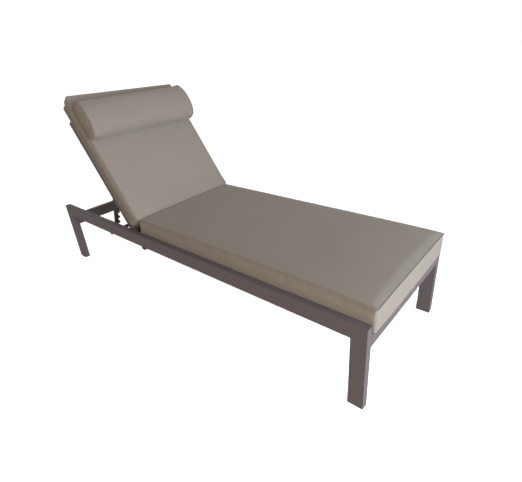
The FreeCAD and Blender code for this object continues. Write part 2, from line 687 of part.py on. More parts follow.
def cushion_section(along, half_width, drawn_in, shoulder, height, bulge, crown):
    """A boxed cushion's section: flat below, upright at its foot, bulged up to the seam, crowned on top."""
    seam = half_width - drawn_in
    spots = [FreeCAD.Vector(across, along, up) for across, up in (
        (-half_width, 0), (half_width, 0), (half_width, shoulder), (seam, height), (-seam, height),
        (-half_width, shoulder))]
    middle_height = (shoulder + height) / 2
    middle_side = (half_width + seam) / 2 + bulge
    right = Part.Arc(spots[2], FreeCAD.Vector(middle_side, along, middle_height), spots[3])
    top = Part.Arc(spots[3], FreeCAD.Vector(0, along, height + crown), spots[4])
    left = Part.Arc(spots[4], FreeCAD.Vector(-middle_side, along, middle_height), spots[5])
    base = Part.LineSegment(spots[0], spots[1])
    right_foot = Part.LineSegment(spots[1], spots[2])
    left_foot = Part.LineSegment(spots[5], spots[0])
    return Part.Wire([piece.toShape() for piece in (base, right_foot, right, top, left, left_foot)])


def make_cushion(label, prefix, half_width):
    """Loft a cushion through its stations: the seams draw in and the top rises between the corners."""
    length, shoulder, bulge, crown, drawn_in, low, high = (
        value(f"{prefix}_{name}") for name in
        ("length", "shoulder", "side_bulge", "crown", "drawn_in", "corner_height", "edge_height"))
    least = value("end_crown")
    sections = []
    for share in STATION_SHARES:
        full = fullness(share)
        sections.append(cushion_section(length * share, half_width, least + drawn_in * full, shoulder,
                                        low + (high - low) * full, least + bulge * full,
                                        least + crown * full))
    feature = DOCUMENT.addObject("Part::Feature", label)
    feature.Label = label
    feature.Shape = Part.makeLoft(sections, True, False)
    return feature


def make_seat_cushion():
    """The seat cushion lies on the slats between the rails."""
    feature = make_cushion("seat_cushion", "seat", value("inner_side - seat_side_gap"))
    place(feature, along="foot_end - seat_overhang", up="deck_level + rest_gap")
    return feature


def make_back_cushion():
    """The back cushion lies on the backrest frame and reaches past its top."""
    feature = make_cushion("back_cushion", "back", value("inner_side - back_cushion_side"))
    place_on_back(feature, along="back_start", height="back_face")
    return feature


def pillow_fullness(share):
    """Rise from the end's share to 1 along the pillow's middle: 1 - (1 - end) share ^ power."""
    return 1 - (1 - PILLOW_END_SHARE) * share ** PILLOW_POWER


def oval_reach(size, wave):
    """How far the oval reaches at a point of its turn: size |wave| ^ (2 / power), with the wave's sign."""
    return math.copysign(size * abs(wave) ** (2 / OVAL_POWER), wave)


def pillow_section(across, half_height, half_thickness):
    """A full oval: |along / half height| ^ power + |up / half thickness| ^ power = 1."""
    turns = [math.radians(FULL_TURN * step / OVAL_POINTS) for step in range(OVAL_POINTS)]
    spots = [FreeCAD.Vector(across, oval_reach(half_height, math.cos(turn)),
                            oval_reach(half_thickness, math.sin(turn))) for turn in turns]
    curve = Part.BSplineCurve()
    curve.interpolate(spots, PeriodicFlag=True)
    return Part.Wire([curve.toShape()])


def make_pillow():
    """The head pillow: an oval roll across the backrest, drawn in at its ends."""
    half_height, half_thickness, half_width = (
        value(f"pillow_{name} / 2") for name in ("height", "thickness", "width"))
    sections = [pillow_section(half_width * share, half_height * pillow_fullness(share),
                               half_thickness * pillow_fullness(share)) for share in PILLOW_SHARES]
    feature = DOCUMENT.addObject("Part::Feature", "head_pillow")
    feature.Label = "head_pillow"
    feature.Shape = Part.makeLoft(sections, True, False)
    place_on_back(feature, along="pillow_reach", height="back_front + pillow_gap + pillow_thickness / 2")
    return feature


def make_flap():
    """The fabric flap that carries the pillow over the top end of the back cushion."""
    body = new_body("pillow_flap")
    outline = new_sketch(body, "YZ_Plane")
    inner = "back_end + rest_gap"
    outer = f"{inner} + flap_thickness"
    front = "back_front + rest_gap"
    over = f"{front} + flap_thickness"
    start = "pillow_reach + flap_tuck"
    polygon(outline, [(start, front), (f"{inner} - flap_bend", front), (inner, f"{front} - flap_bend"),
                      (inner, "back_face + flap_hem"), (outer, "back_face + flap_hem"),
                      (outer, f"{over} - flap_bend"), (f"{outer} - flap_bend", over), (start, over)])
    pad(body, outline, "flap_width")
    place_on_back(body)
    return body


def build_frame():
    """The welded frame with its glides, crossbars and seat deck."""
    pieces = []
    for side, word in ((-1, "left"), (1, "right")):
        pieces.append(make_rail(f"{word}_rail", side))
        for end in ("foot", "head"):
            pieces.append(make_leg(f"{word}_{end}_leg", side, end))
            pieces.append(make_glide(f"{word}_{end}_glide", side, end))
        pieces.append(make_ledge(f"{word}_seat_ledge", side))
        pieces.append(make_slat_screws(f"{word}_slat_screws", side))
        pieces.append(make_hanger(f"{word}_rod_hanger", side))
        pieces.append(make_pivot_bolt(f"{word}_pivot_bolt", side))
    foot_bar = make_crossbar("foot_crossbar", "foot_end + rail_breadth / 2", "deck_level")
    cut_vent_holes(foot_bar)
    pieces.append(foot_bar)
    pieces.append(make_vent_plugs())
    pieces.append(make_crossbar("seat_crossbar", "seat_bar_place", "deck_level - seat_bar_drop"))
    pieces.append(make_crossbar("head_crossbar", "head_end - rail_depth + rail_breadth / 2",
                                "deck_level - back_tube - rest_gap"))
    pieces.append(make_catch_rod())
    clips = ring_pair("rod_clips", "hanger_side - rest_gap - clip_thickness", "clip_thickness", "clip_radius",
                      "rod_radius + running_clearance")
    place(clips, along="rod_place", up="rod_level")
    nuts = ring_pair("pivot_nuts", "inner_side + rail_wall", "bolt_nut_length", "bolt_nut_radius",
                     "bolt_radius + running_clearance")
    place(nuts, along="pivot_place", up="pivot_level")
    spacers = ring_pair("pivot_spacers", "back_outer + rest_gap", "side_gap - rest_gap", "spacer_radius",
                        "bolt_radius + running_clearance")
    place(spacers, along="pivot_place", up="pivot_level")
    pieces += [clips, nuts, spacers]
    pieces += [make_seat_slat(index) for index in range(round(value("seat_slat_count")))]
    return pieces


def build_backrest():
    """The backrest frame with its slats, caps and the hardware of the prop arms."""
    pieces = []
    for side, word in ((-1, "left"), (1, "right")):
        pieces.append(make_back_tube(f"{word}_back_tube", side))
        pieces.append(make_back_caps(f"{word}_back_caps", side))
    pieces.append(make_back_bar("back_low_bar", "low_bar_reach"))
    pieces.append(make_back_bar("back_top_bar", "top_bar_reach"))
    pieces += [make_back_slat(index) for index in range(round(value("back_slat_count")))]
    pieces.append(make_arm_pins())
    nuts = ring_pair("arm_pin_nuts", "arm_inner - rest_gap - arm_nut_height", "arm_nut_height",
                     "arm_nut_radius", "arm_pin_radius + running_clearance")
    place_on_back(nuts, along="arm_reach", height="-arm_drop")
    pieces.append(nuts)
    return pieces


def build_props():
    """The notched prop arms and the rod that joins them."""
    arms = [make_arm(f"{word}_prop_arm", side) for side, word in ((-1, "left"), (1, "right"))]
    return arms + [make_tie_rod()]


def build_soft_parts():
    """The cushions, the pillow and its flap."""
    return [make_seat_cushion(), make_back_cushion(), make_pillow(), make_flap()]


def check(pieces):
    """Stop if anything in the document failed, or if a sub-part is empty or not valid."""
    DOCUMENT.recompute()
    for thing in DOCUMENT.Objects:
        if {"Invalid", "Error"} & set(thing.State):
            raise RuntimeError(f"{thing.Label} failed: {thing.State}")
    for piece in pieces:
        if piece.Shape.isNull() or not piece.Shape.isValid() or not piece.Shape.Solids:
            raise RuntimeError(f"{piece.Label} has no valid solid")


def write(pieces):
    """Write each sub-part to a STEP file under its own name."""
    os.makedirs("parts", exist_ok=True)
    for piece in pieces:
        piece.Shape.exportStep(f"parts/{piece.Label}.step")
        print(f"{piece.Label}: {len(piece.Shape.Solids)} solid, {piece.Shape.Volume:.1f} cubic mm")


PIECES = build_frame() + build_backrest() + build_props() + build_soft_parts()
check(PIECES)
write(PIECES)
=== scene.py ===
# %% [markdown]
# # A reclining spa lounger, dressed
#
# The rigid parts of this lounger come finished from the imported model: tubes, slats, bolts, prop arms. What
# is made here is everything soft, and the finish of every surface: two boxed cushions, a head pillow, and
# the flap that carries it. Each cell makes one thing, and says first what that thing is on the real object.
#
# Lengths are in metres. X runs across, Y from the foot end to the head end, and Z up from the floor.

import json

import bpy
import numpy as np
from mathutils import Euler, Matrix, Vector


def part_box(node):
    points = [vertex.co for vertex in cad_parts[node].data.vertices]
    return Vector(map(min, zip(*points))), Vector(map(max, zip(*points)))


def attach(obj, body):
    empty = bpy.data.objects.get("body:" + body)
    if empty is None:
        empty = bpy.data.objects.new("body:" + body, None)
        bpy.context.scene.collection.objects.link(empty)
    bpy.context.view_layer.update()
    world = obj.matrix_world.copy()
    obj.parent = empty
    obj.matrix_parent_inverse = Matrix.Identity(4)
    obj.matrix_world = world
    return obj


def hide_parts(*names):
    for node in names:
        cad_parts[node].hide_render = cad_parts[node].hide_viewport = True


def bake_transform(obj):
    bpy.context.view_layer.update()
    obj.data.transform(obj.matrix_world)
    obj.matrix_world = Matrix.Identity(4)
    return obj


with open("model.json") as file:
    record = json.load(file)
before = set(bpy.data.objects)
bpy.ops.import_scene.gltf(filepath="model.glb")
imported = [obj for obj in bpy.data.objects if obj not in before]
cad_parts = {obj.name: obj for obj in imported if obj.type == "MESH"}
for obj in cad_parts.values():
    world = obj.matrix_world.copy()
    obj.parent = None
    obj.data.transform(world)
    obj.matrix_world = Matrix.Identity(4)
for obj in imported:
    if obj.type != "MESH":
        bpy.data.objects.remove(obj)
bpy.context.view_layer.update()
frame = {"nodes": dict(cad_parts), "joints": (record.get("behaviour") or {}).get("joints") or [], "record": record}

# %% [markdown]
# ## The camera
#
# A photograph can be taken again in Blender if three things are known: where the camera stood, which way it
# was turned, and how wide its lens was. They were worked out from the straight edges of the frame.

# %% Camera
CAMERA_PLACE = (-1.2087, -1.3713, 1.1441)
CAMERA_TURN = (62.780, 4.048, -50.002)
CAMERA_LENS = 26.40
CAMERA_SENSOR = 36.0

camera_data = bpy.data.cameras.new("camera")
camera_data.lens = CAMERA_LENS
camera_data.sensor_width = CAMERA_SENSOR
camera = bpy.data.objects.new("camera", camera_data)
camera.location = CAMERA_PLACE
camera.rotation_euler = Euler(np.radians(CAMERA_TURN))
bpy.context.scene.collection.objects.link(camera)
bpy.context.scene.camera = camera
print("The camera stands at", CAMERA_PLACE)

# %% [markdown]
# ## Sums on shader sockets
#
# Finishes are built from nodes, and a pattern such as a weave is a sum of many small Math nodes. Written
# one by one they are hard to read. This small class wraps a socket, so that an ordinary Python expression
# such as `0.4 + 0.1 * noise` adds the Math nodes for it.


# %% Sums on sockets
class Shade:
    """A socket that takes part in sums. Each operator adds one Math node to the socket's own tree."""

    def __init__(self, tree, socket):
        self.tree = tree
        self.socket = socket

    def math(self, operation, *values):
        """One Math node, whose values are sockets or numbers."""
        node = add_node(self.tree, "ShaderNodeMath", {"operation": operation}, dict(enumerate(values)))
        return Shade(self.tree, node.outputs[0])

    def __add__(self, other):
        return self.math("ADD", self, other)

    def __radd__(self, other):
        return self.math("ADD", other, self)

    def __sub__(self, other):
        return self.math("SUBTRACT", self, other)

    def __rsub__(self, other):
        return self.math("SUBTRACT", other, self)

    def __mul__(self, other):
        return self.math("MULTIPLY", self, other)

    def __rmul__(self, other):
        return self.math("MULTIPLY", other, self)

    def sine(self):
        return self.math("SINE", self)

    def above(self, level):
        """1 where the value is above the level, and 0 elsewhere."""
        return self.math("GREATER_THAN", self, level)

    def limit(self):
        """The same value, kept between 0 and 1."""
        self.socket.node.use_clamp = True
        return self


def add_node(tree, kind, settings=(), sockets=()):
    """Add a node: first its settings, such as a Math node's operation, then its values and links."""
    node = tree.nodes.new(kind)
    for name, setting in dict(settings).items():
        setattr(node, name, setting)
    for name, content in dict(sockets).items():
        if isinstance(content, Shade):
            tree.links.new(content.socket, node.inputs[name])
        else:
            node.inputs[name].default_value = content
    return node


def output(node, name=0):
    """One output of a node, ready for sums."""
    return Shade(node.id_data, node.outputs[name])


print("Ready: sums on sockets, and add_node for every other node")

# %% [markdown]
# ## Lamps
#
# The lounger was lit by cool daylight from beyond its foot end: the faces that look that way are more than
# twice as bright as the top of the seat, and everything gets darker towards the head end. The faces that
# look to the near side are warmer, as if a warm floor or wall shone back at them. So there is one large
# window of light beyond the foot end, and a weak warm one at the near side. An area lamp is used for both,
# because a large lamp makes the soft shadows of a window. The camera doesn't see the lamps, whichever way
# it looks.

# %% Lamps
WINDOW = {"place": (-0.7, -3.75, 1.2), "target": (0.0, -0.6, 0.4), "size": 2.2, "power": 178.0,
          "colour": (0.83, 0.91, 1.0)}
WARM_SIDE = {"place": (-2.5, -2.2, 0.7), "target": (0.0, -0.8, 0.4), "size": 1.8, "power": 23.0,
             "colour": (1.0, 0.68, 0.40)}


def aim(thing, target):
    """Turn a light so that its -Z axis, along which it shines, points at the target."""
    thing.rotation_euler = (Vector(target) - thing.location).to_track_quat("-Z", "Y").to_euler()


def area_light(name, sizes):
    """A square lamp at its place, aimed at its target, that the camera doesn't see."""
    data = bpy.data.lights.new(name, "AREA")
    data.shape = "SQUARE"
    data.size = sizes["size"]
    data.energy = sizes["power"]
    data.color = sizes["colour"]
    light = bpy.data.objects.new(name, data)
    light.location = sizes["place"]
    light.visible_camera = False
    aim(light, sizes["target"])
    bpy.context.scene.collection.objects.link(light)
    return light


area_light("window", WINDOW).visible_glossy = False
area_light("warm_side", WARM_SIDE)
bpy.context.scene.view_settings.view_transform = "Standard"
print("Two area lamps, of", WINDOW["power"], "and", WARM_SIDE["power"], "watts")

# %% [markdown]
# ## Sky
#
# A faint warm sky fills the shadows. Glossy paint mirrors a paler room than that, and the camera sees plain
# white. So the world holds three skies. Its Light Path node tells what kind of ray asks, and Mix Shader
# nodes choose by it.

# %% Sky
SKY_LIGHT = ((1.0, 0.79, 0.56, 1.0), 0.31)
SKY_MIRRORED = ((0.98, 0.94, 0.98, 1.0), 0.72)
SKY_SEEN = ((1.0, 1.0, 1.0, 1.0), 1.0)

world = bpy.data.worlds.new("sky")
bpy.context.scene.world = world
world.use_nodes = True
sky_tree = world.node_tree
sky_tree.nodes.clear()
sky_ray = add_node(sky_tree, "ShaderNodeLightPath")


def background(colour, strength):
    """An even sky of one colour."""
    return output(add_node(sky_tree, "ShaderNodeBackground", {}, {"Color": colour, "Strength": strength}))


def choose(ray, usual, special):
    """The special sky for one kind of ray, and the usual one for all others."""
    sockets = dict(enumerate((output(sky_ray, ray), usual, special)))
    return output(add_node(sky_tree, "ShaderNodeMixShader", {}, sockets))


lit = choose("Is Glossy Ray", background(*SKY_LIGHT), background(*SKY_MIRRORED))
seen = choose("Is Camera Ray", lit, background(*SKY_SEEN))
add_node(sky_tree, "ShaderNodeOutputWorld", {}, {"Surface": seen})
print("The sky has", len(sky_tree.nodes), "nodes")

# %% [markdown]
# ## A finish
#
# Every finish here starts the same way: a new material, one Principled shader, and its constants on the
# shader's own sockets. `principled` does that, and each finish then adds what varies over its surface.


# %% Helpers for a finish
def principled(name, constants):
    """Make a material with one Principled shader, and return the material, its tree and the shader."""
    material = bpy.data.materials.new(name)
    material.use_nodes = True
    tree = material.node_tree
    tree.nodes.clear()
    shader = add_node(tree, "ShaderNodeBsdfPrincipled", {}, constants)
    out = add_node(tree, "ShaderNodeOutputMaterial")
    tree.links.new(shader.outputs[0], out.inputs["Surface"])
    return material, tree, shader


def drive(tree, shader, socket, value):
    """Let a value that varies over the surface feed one socket of the shader."""
    tree.links.new(value.socket, shader.inputs[socket])


def noise(tree, place, scale, detail=2.0):
    """Soft noise from 0 to 1, with its features about 1 / scale metres apart."""
    sockets = {"Vector": place, "Scale": scale, "Detail": detail}
    return output(add_node(tree, "ShaderNodeTexNoise", {}, sockets))


def blend_colours(tree, share, first, second):
    """Mix two colours: the first where the share is 0, the second where it is 1."""
    sockets = {"Factor": share, 6: (*first, 1.0), 7: (*second, 1.0)}
    return output(add_node(tree, "ShaderNodeMix", {"data_type": "RGBA"}, sockets), 2)


def bump(tree, height, distance, strength=1.0):
    """Turn a height from 0 to 1 into a bump of that many metres."""
    sockets = {"Height": height, "Distance": distance, "Strength": strength}
    return output(add_node(tree, "ShaderNodeBump", {}, sockets))


print("Ready: a plain finish, noise, mixed colours and bumps")

# %% [markdown]
# ## Powder coat on the frame
#
# The tubes are coated with powder that is baked on. It is matt, taupe with a hint of mauve, and it has a
# slight orange peel: low waves a few millimetres across, which break up what it reflects. Dust settles in
# soft patches, so both the colour and the roughness drift a little.

# %% Powder coat
ORANGE_PEEL_SCALE = 420.0
ORANGE_PEEL_HEIGHT = 0.00006
PATCH_SCALE = 7.0
DUST_ROUGHNESS = 0.12


def powder_coat(name, clean, dusty, roughness):
    """Clean colour to dusty colour by soft patches, which add to the roughness, and a bump of fine noise."""
    material, tree, shader = principled(name, {"Metallic": 0.0, "Specular IOR Level": 0.3})
    place = output(add_node(tree, "ShaderNodeTexCoord"), "Object")
    patches = noise(tree, place, PATCH_SCALE, detail=4.0)
    peel = noise(tree, place, ORANGE_PEEL_SCALE)
    drive(tree, shader, "Base Color", blend_colours(tree, patches, clean, dusty))
    drive(tree, shader, "Roughness", roughness + DUST_ROUGHNESS * patches)
    drive(tree, shader, "Normal", bump(tree, peel, ORANGE_PEEL_HEIGHT))
    return material


FRAME_COAT = powder_coat("frame_coat", (0.122, 0.108, 0.117), (0.138, 0.124, 0.132), 0.46)
PROP_COAT = powder_coat("prop_coat", (0.044, 0.041, 0.042), (0.060, 0.056, 0.056), 0.48)
print("Powder coats:", FRAME_COAT.name, "and", PROP_COAT.name)

# %% [markdown]
# ## Moulded plastic and plated steel
#
# Glides, end caps and spacers are black moulded plastic with a fine grain. Bolts, screws, pins and clips
# are zinc plated: bright, a little rough, and mottled by the spangle of the zinc.

# %% Plastic and steel
GRAIN_SCALE = 900.0
GRAIN_HEIGHT = 0.00005
GRAIN_ROUGHNESS = 0.2
PLASTIC_ROUGHNESS = 0.5
SPANGLE_SCALE = 260.0
SPANGLE_ROUGHNESS = 0.2
STEEL_ROUGHNESS = 0.28


def moulded_plastic(name, colour):
    """One colour. Fine noise, the grain, adds to the roughness and makes a bump."""
    material, tree, shader = principled(name, {"Base Color": (*colour, 1.0), "Specular IOR Level": 0.35})
    place = output(add_node(tree, "ShaderNodeTexCoord"), "Object")
    grain = noise(tree, place, GRAIN_SCALE)
    drive(tree, shader, "Roughness", PLASTIC_ROUGHNESS + GRAIN_ROUGHNESS * grain)
    drive(tree, shader, "Normal", bump(tree, grain, GRAIN_HEIGHT))
    return material


def plated_steel(name, bright, dull):
    """Metal from dull to bright by noise, the spangle, which adds to the roughness."""
    material, tree, shader = principled(name, {"Metallic": 1.0})
    place = output(add_node(tree, "ShaderNodeTexCoord"), "Object")
    spangle = noise(tree, place, SPANGLE_SCALE, detail=3.0)
    drive(tree, shader, "Base Color", blend_colours(tree, spangle, dull, bright))
    drive(tree, shader, "Roughness", STEEL_ROUGHNESS + SPANGLE_ROUGHNESS * spangle)
    return material


BLACK_PLASTIC = moulded_plastic("black_plastic", (0.018, 0.018, 0.018))
BRIGHT_STEEL = plated_steel("bright_steel", (0.62, 0.61, 0.60), (0.42, 0.41, 0.40))
print("For the small parts:", BLACK_PLASTIC.name, "and", BRIGHT_STEEL.name)

# %% [markdown]
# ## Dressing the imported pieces
#
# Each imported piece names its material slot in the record, so one table from slot to finish dresses all the
# rigid ones. The cushions, the pillow and the flap aren't in it, because they are made anew below.

# %% Dress the rigid pieces
FINISH_OF = {
    "frame_coat": FRAME_COAT,
    "deck_coat": FRAME_COAT,
    "back_coat": FRAME_COAT,
    "prop_coat": PROP_COAT,
    "black_plastic": BLACK_PLASTIC,
    "bright_steel": BRIGHT_STEEL,
}
for subpart in frame["record"]["subparts"]:
    finish = FINISH_OF.get(subpart["material_slot"])
    if finish:
        node = frame["nodes"][subpart["node"]]
        node.data.materials.clear()
        node.data.materials.append(finish)
print("Dressed the rigid pieces in", len(set(FINISH_OF.values())), "finishes")

# %% [markdown]
# ## Outdoor cloth
#
# The covers are a plain weave of thick spun yarn in a warm grey. From a step away the cloth looks matt and
# even. Close up, each yarn passes over one neighbour and under the next, and some yarns are a little
# thicker or paler than others. The pattern reads the cloth's own UV map, whose unit is one metre of cloth,
# so the weave keeps its size on every panel and turns with it. Along a seam the cloth dips under the
# stitches into shade, and that shade is painted into its colour as a darker line: each mesh marks its
# seams with a number from 0 to 1 at each point.

# %% Woven cloth
YARN = 0.0013
YARN_HEIGHT = 0.00022
YARN_BUMP = 0.5
SLUB_SCALE = 440.0
SLUB_STRETCH = 0.05
FADE_SCALE = 5.0
# The seam share is painted shade: how much darker the cloth is made along its seams.
TONE_SHARES = {"middle": 0.42, "slubs": 0.17, "patches": 0.26, "yarn": 0.12, "seam": 0.50}
CLOTH_ROUGHNESS = 0.78
SLUB_ROUGHNESS = 0.12
CLOTH_MAP = "cloth"
SEAM_SHADE_MARK = "seam"


def woven_cloth(name, shade, light):
    """Plain weave: yarn profiles sin(pi u / yarn)^2 and sin(pi v / yarn)^2, swapped like a chessboard.

    The tone, from the shade colour at 0 to the light at 1, sums slubs, patches, yarn and painted seam shade.
    """
    material, tree, shader = principled(name, {"Specular IOR Level": 0.25, "Sheen Weight": 0.25,
                                               "Sheen Roughness": 0.5})
    cloth = output(add_node(tree, "ShaderNodeUVMap", {"uv_map": CLOTH_MAP}))
    parts = add_node(tree, "ShaderNodeSeparateXYZ", {}, {"Vector": cloth})
    across = (output(parts, "X") * (np.pi / YARN)).sine()
    along = (output(parts, "Y") * (np.pi / YARN)).sine()
    over = (across * along).above(0.0)
    height = over * across * across + (1.0 - over) * along * along
    stretch = add_node(tree, "ShaderNodeMapping", {}, {"Vector": cloth, "Scale": (1.0, SLUB_STRETCH, 1.0)})
    slubs = noise(tree, output(stretch), SLUB_SCALE)
    patches = noise(tree, cloth, FADE_SCALE, detail=3.0)
    seam = output(add_node(tree, "ShaderNodeAttribute", {"attribute_name": SEAM_SHADE_MARK}), "Fac")
    share = TONE_SHARES
    tone = share["middle"] + share["slubs"] * slubs + share["patches"] * patches + share["yarn"] * height
    # Painted shade: the tone is lowered along the marked seams, where the cloth dips into shade.
    tone = (tone - share["seam"] * seam).limit()
    drive(tree, shader, "Base Color", blend_colours(tree, tone, shade, light))
    drive(tree, shader, "Roughness", CLOTH_ROUGHNESS + SLUB_ROUGHNESS * slubs)
    drive(tree, shader, "Normal", bump(tree, height, YARN_HEIGHT, YARN_BUMP))
    return material


CUSHION_CLOTH = woven_cloth("cushion_cloth", (0.170, 0.155, 0.139), (0.325, 0.302, 0.274))
print("The cloth has", round(1 / YARN), "yarns to the metre")

# %% [markdown]
# ## Putting numbers into a mesh
#
# Every shape below is worked out as whole arrays. `make_piece` puts the points, the faces and the cloth map
# into a mesh, joins the object to the scene, and gives it its finish. The object itself stays at the
# origin, so the place of a piece is in its points. `TINY` stands in for a length of zero where something is
# divided by it.

# %% Points into a mesh
TINY = 1e-9


def make_piece(name, points, faces, cloth=None, finish=None):
    """Make a mesh object. cloth gives a UV place for each corner of each face, in the faces' order."""
    mesh = bpy.data.meshes.new(name)
    mesh.from_pydata(points.tolist(), [], faces.tolist())
    mesh.polygons.foreach_set("use_smooth", np.ones(len(faces), bool))
    if cloth is not None:
        layer = mesh.uv_layers.new(name=CLOTH_MAP)
        layer.data.foreach_set("uv", np.ascontiguousarray(cloth, np.float32).ravel())
    mesh.validate()
    mesh.update()
    thing = bpy.data.objects.new(name, mesh)
    bpy.context.scene.collection.objects.link(thing)
    if finish:
        mesh.materials.append(finish)
    return thing


def mark_seam_shade(thing, numbers):
    """Mark these points of a mesh as seams, for the shade painted along them in the cloth's colour."""
    marks = np.zeros(len(thing.data.vertices), np.float32)
    marks[np.ravel(numbers)] = 1.0
    thing.data.attributes.new(SEAM_SHADE_MARK, "FLOAT", "POINT").data.foreach_set("value", marks)


def grid_faces(numbers):
    """Quads between the neighbours of a 2-D array of vertex numbers."""
    corners = numbers[:-1, :-1], numbers[1:, :-1], numbers[1:, 1:], numbers[:-1, 1:]
    return np.stack(corners, -1).reshape(-1, 4)


def read_points(mesh):
    """The points of a mesh, as rows (x, y, z)."""
    points = np.empty(len(mesh.vertices) * 3, np.float32)
    mesh.vertices.foreach_get("co", points)
    return points.reshape(-1, 3).astype(float)


def write_points(thing, points):
    """Put new points into an object's mesh."""
    thing.data.vertices.foreach_set("co", np.ascontiguousarray(points, np.float32).ravel())
    thing.data.update()


print("A grid of 3 by 4 points has", len(grid_faces(np.arange(12).reshape(3, 4))), "faces")

# %% [markdown]
# ## Panels
#
# Every padded piece here is sewn from the same three kinds of panel: two flat ones that face each other,
# and a band that goes round between their rims. On a cushion the flat ones are its top and bottom and the
# band is called the boxing. On the roll pillow the flat ones are its two ends, and the band is the roll
# itself. So one class keeps the vertex numbers of such a set, and each shape only has to say where the
# points lie.


# %% Panels
class Panels:
    """Vertex numbers: two grids, upper and lower, and the loops of the band between their rims."""

    def __init__(self, shape, rows):
        count = shape[0] * shape[1]
        self.upper = np.arange(count).reshape(shape)
        self.lower = self.upper + count
        rim = self.rim_of(self.upper)
        between = 2 * count + np.arange((rows - 1) * len(rim)).reshape(rows - 1, -1)
        self.band = np.concatenate([self.rim_of(self.lower)[None], between, rim[None]])
        self.count = 2 * count + between.size

    @staticmethod
    def rim_of(grid):
        """What lies round the edge of a grid, once round and without its first again."""
        return np.concatenate([grid[:-1, 0], grid[-1, :-1], grid[:0:-1, -1], grid[0, :0:-1]])

    def faces(self):
        """Quads of the upper panel, the lower one and the band, all facing outwards."""
        loop = np.concatenate([self.band, self.band[:, :1]], 1)
        return np.concatenate([grid_faces(self.upper), grid_faces(self.lower)[:, ::-1], grid_faces(loop.T)])

    def cloth(self, plan, heights):
        """Cloth map: plan places on both flat panels, the way round and the height on the band."""
        rim = self.rim_of(plan)
        way = np.concatenate([[0.0], np.cumsum(np.linalg.norm(np.roll(rim, -1, 0) - rim, axis=1))])
        band = np.stack(np.meshgrid(way, heights, indexing="ij"), -1)
        parts = []
        for places, turned in ((plan, False), (plan, True), (band, False)):
            numbers = grid_faces(np.arange(places[..., 0].size).reshape(places.shape[:2]))
            parts.append(places.reshape(-1, 2)[numbers[:, ::-1] if turned else numbers].reshape(-1, 2))
        return np.concatenate(parts)


def square_to_disc(a, b):
    """a' = a sqrt(1 - b^2 / 2), b' = b sqrt(1 - a^2 / 2): the square's rim becomes the circle."""
    return a * np.sqrt(1 - b * b / 2), b * np.sqrt(1 - a * a / 2)


print("Two panels of 5 by 5 points and a band of 3 rows have", Panels((5, 5), 3).count, "points")

# %% [markdown]
# ## Grid lines and round edges
#
# A cushion starts as a box. Its edges are rounded, little along a seam and much where the cover is simply
# drawn over the foam. A bevel would give one radius to a whole edge. A formula on the points can change it
# from one end to the other, so that is used. The grid is closer near the rim, where the cloth curves most.

# %% Grid lines and round edges
EDGE_STEP = 0.0042
EDGE_GROWTH = 1.15
LONGEST_STEP = 0.0125
MOST_STEPS = 400


def grid_lines(half):
    """Lines from -half to half whose steps grow from the edge by a fixed ratio up to the longest step."""
    steps = np.minimum(EDGE_STEP * EDGE_GROWTH ** np.arange(MOST_STEPS), LONGEST_STEP)
    count = int(np.searchsorted(np.cumsum(steps), half)) + 1
    inward = np.concatenate([[0.0], np.cumsum(steps[:count])]) * half / steps[:count].sum()
    return np.concatenate([inward - half, (half - inward)[-2::-1]])


def round_over(points, halves, radii):
    """Round a box's edges: q (max q / |q|), where q is how far a point is into the rounding, from 0 to 1.

    A radius of 0 leaves that direction alone. The third direction is rounded at its upper side only.
    """
    radii = np.broadcast_to(radii, points.shape)
    signs = np.column_stack([np.sign(points[:, :2]), np.ones(len(points))])
    q = np.clip((signs * points - halves + radii) / np.maximum(radii, TINY), 0.0, None) * (radii > 0)
    length = np.maximum(np.linalg.norm(q, axis=1, keepdims=True), TINY)
    return points + signs * radii * (q * q.max(1, keepdims=True) / length - q)


def ease(share):
    """Smooth step: 3 t^2 - 2 t^3 with t kept between 0 and 1."""
    t = np.clip(share, 0.0, 1.0)
    return t * t * (3 - 2 * t)


print("A side of 0.6 m gets", len(grid_lines(0.3)), "lines")

# %% [markdown]
# ## The shape of a boxed cushion
#
# The box then becomes a cushion. It is widest at its corners, because the cloth is held there from three
# sides. Along the middle of each side the seam is drawn in and lifted by the foam, and the top rises in a
# crown. Below, the sides stay upright where they meet the rail. Each of these is one term of a sum, with a
# size of its own.

# %% Boxed cushion
FULLNESS_POWER = 6
ON_FACE = 1e-6
END_REACH = 0.070
DROOP_REACH = 0.060
SWELL_INSET = 0.016
SWELL_START = 0.022
STEP_START = 0.031
STEP_HEIGHT = 0.044


def fullness(share):
    """1 in the middle and 0 at both ends of a side: 1 - share^power, with share from -1 to 1."""
    return 1.0 - np.minimum(np.abs(share), 1.0) ** FULLNESS_POWER


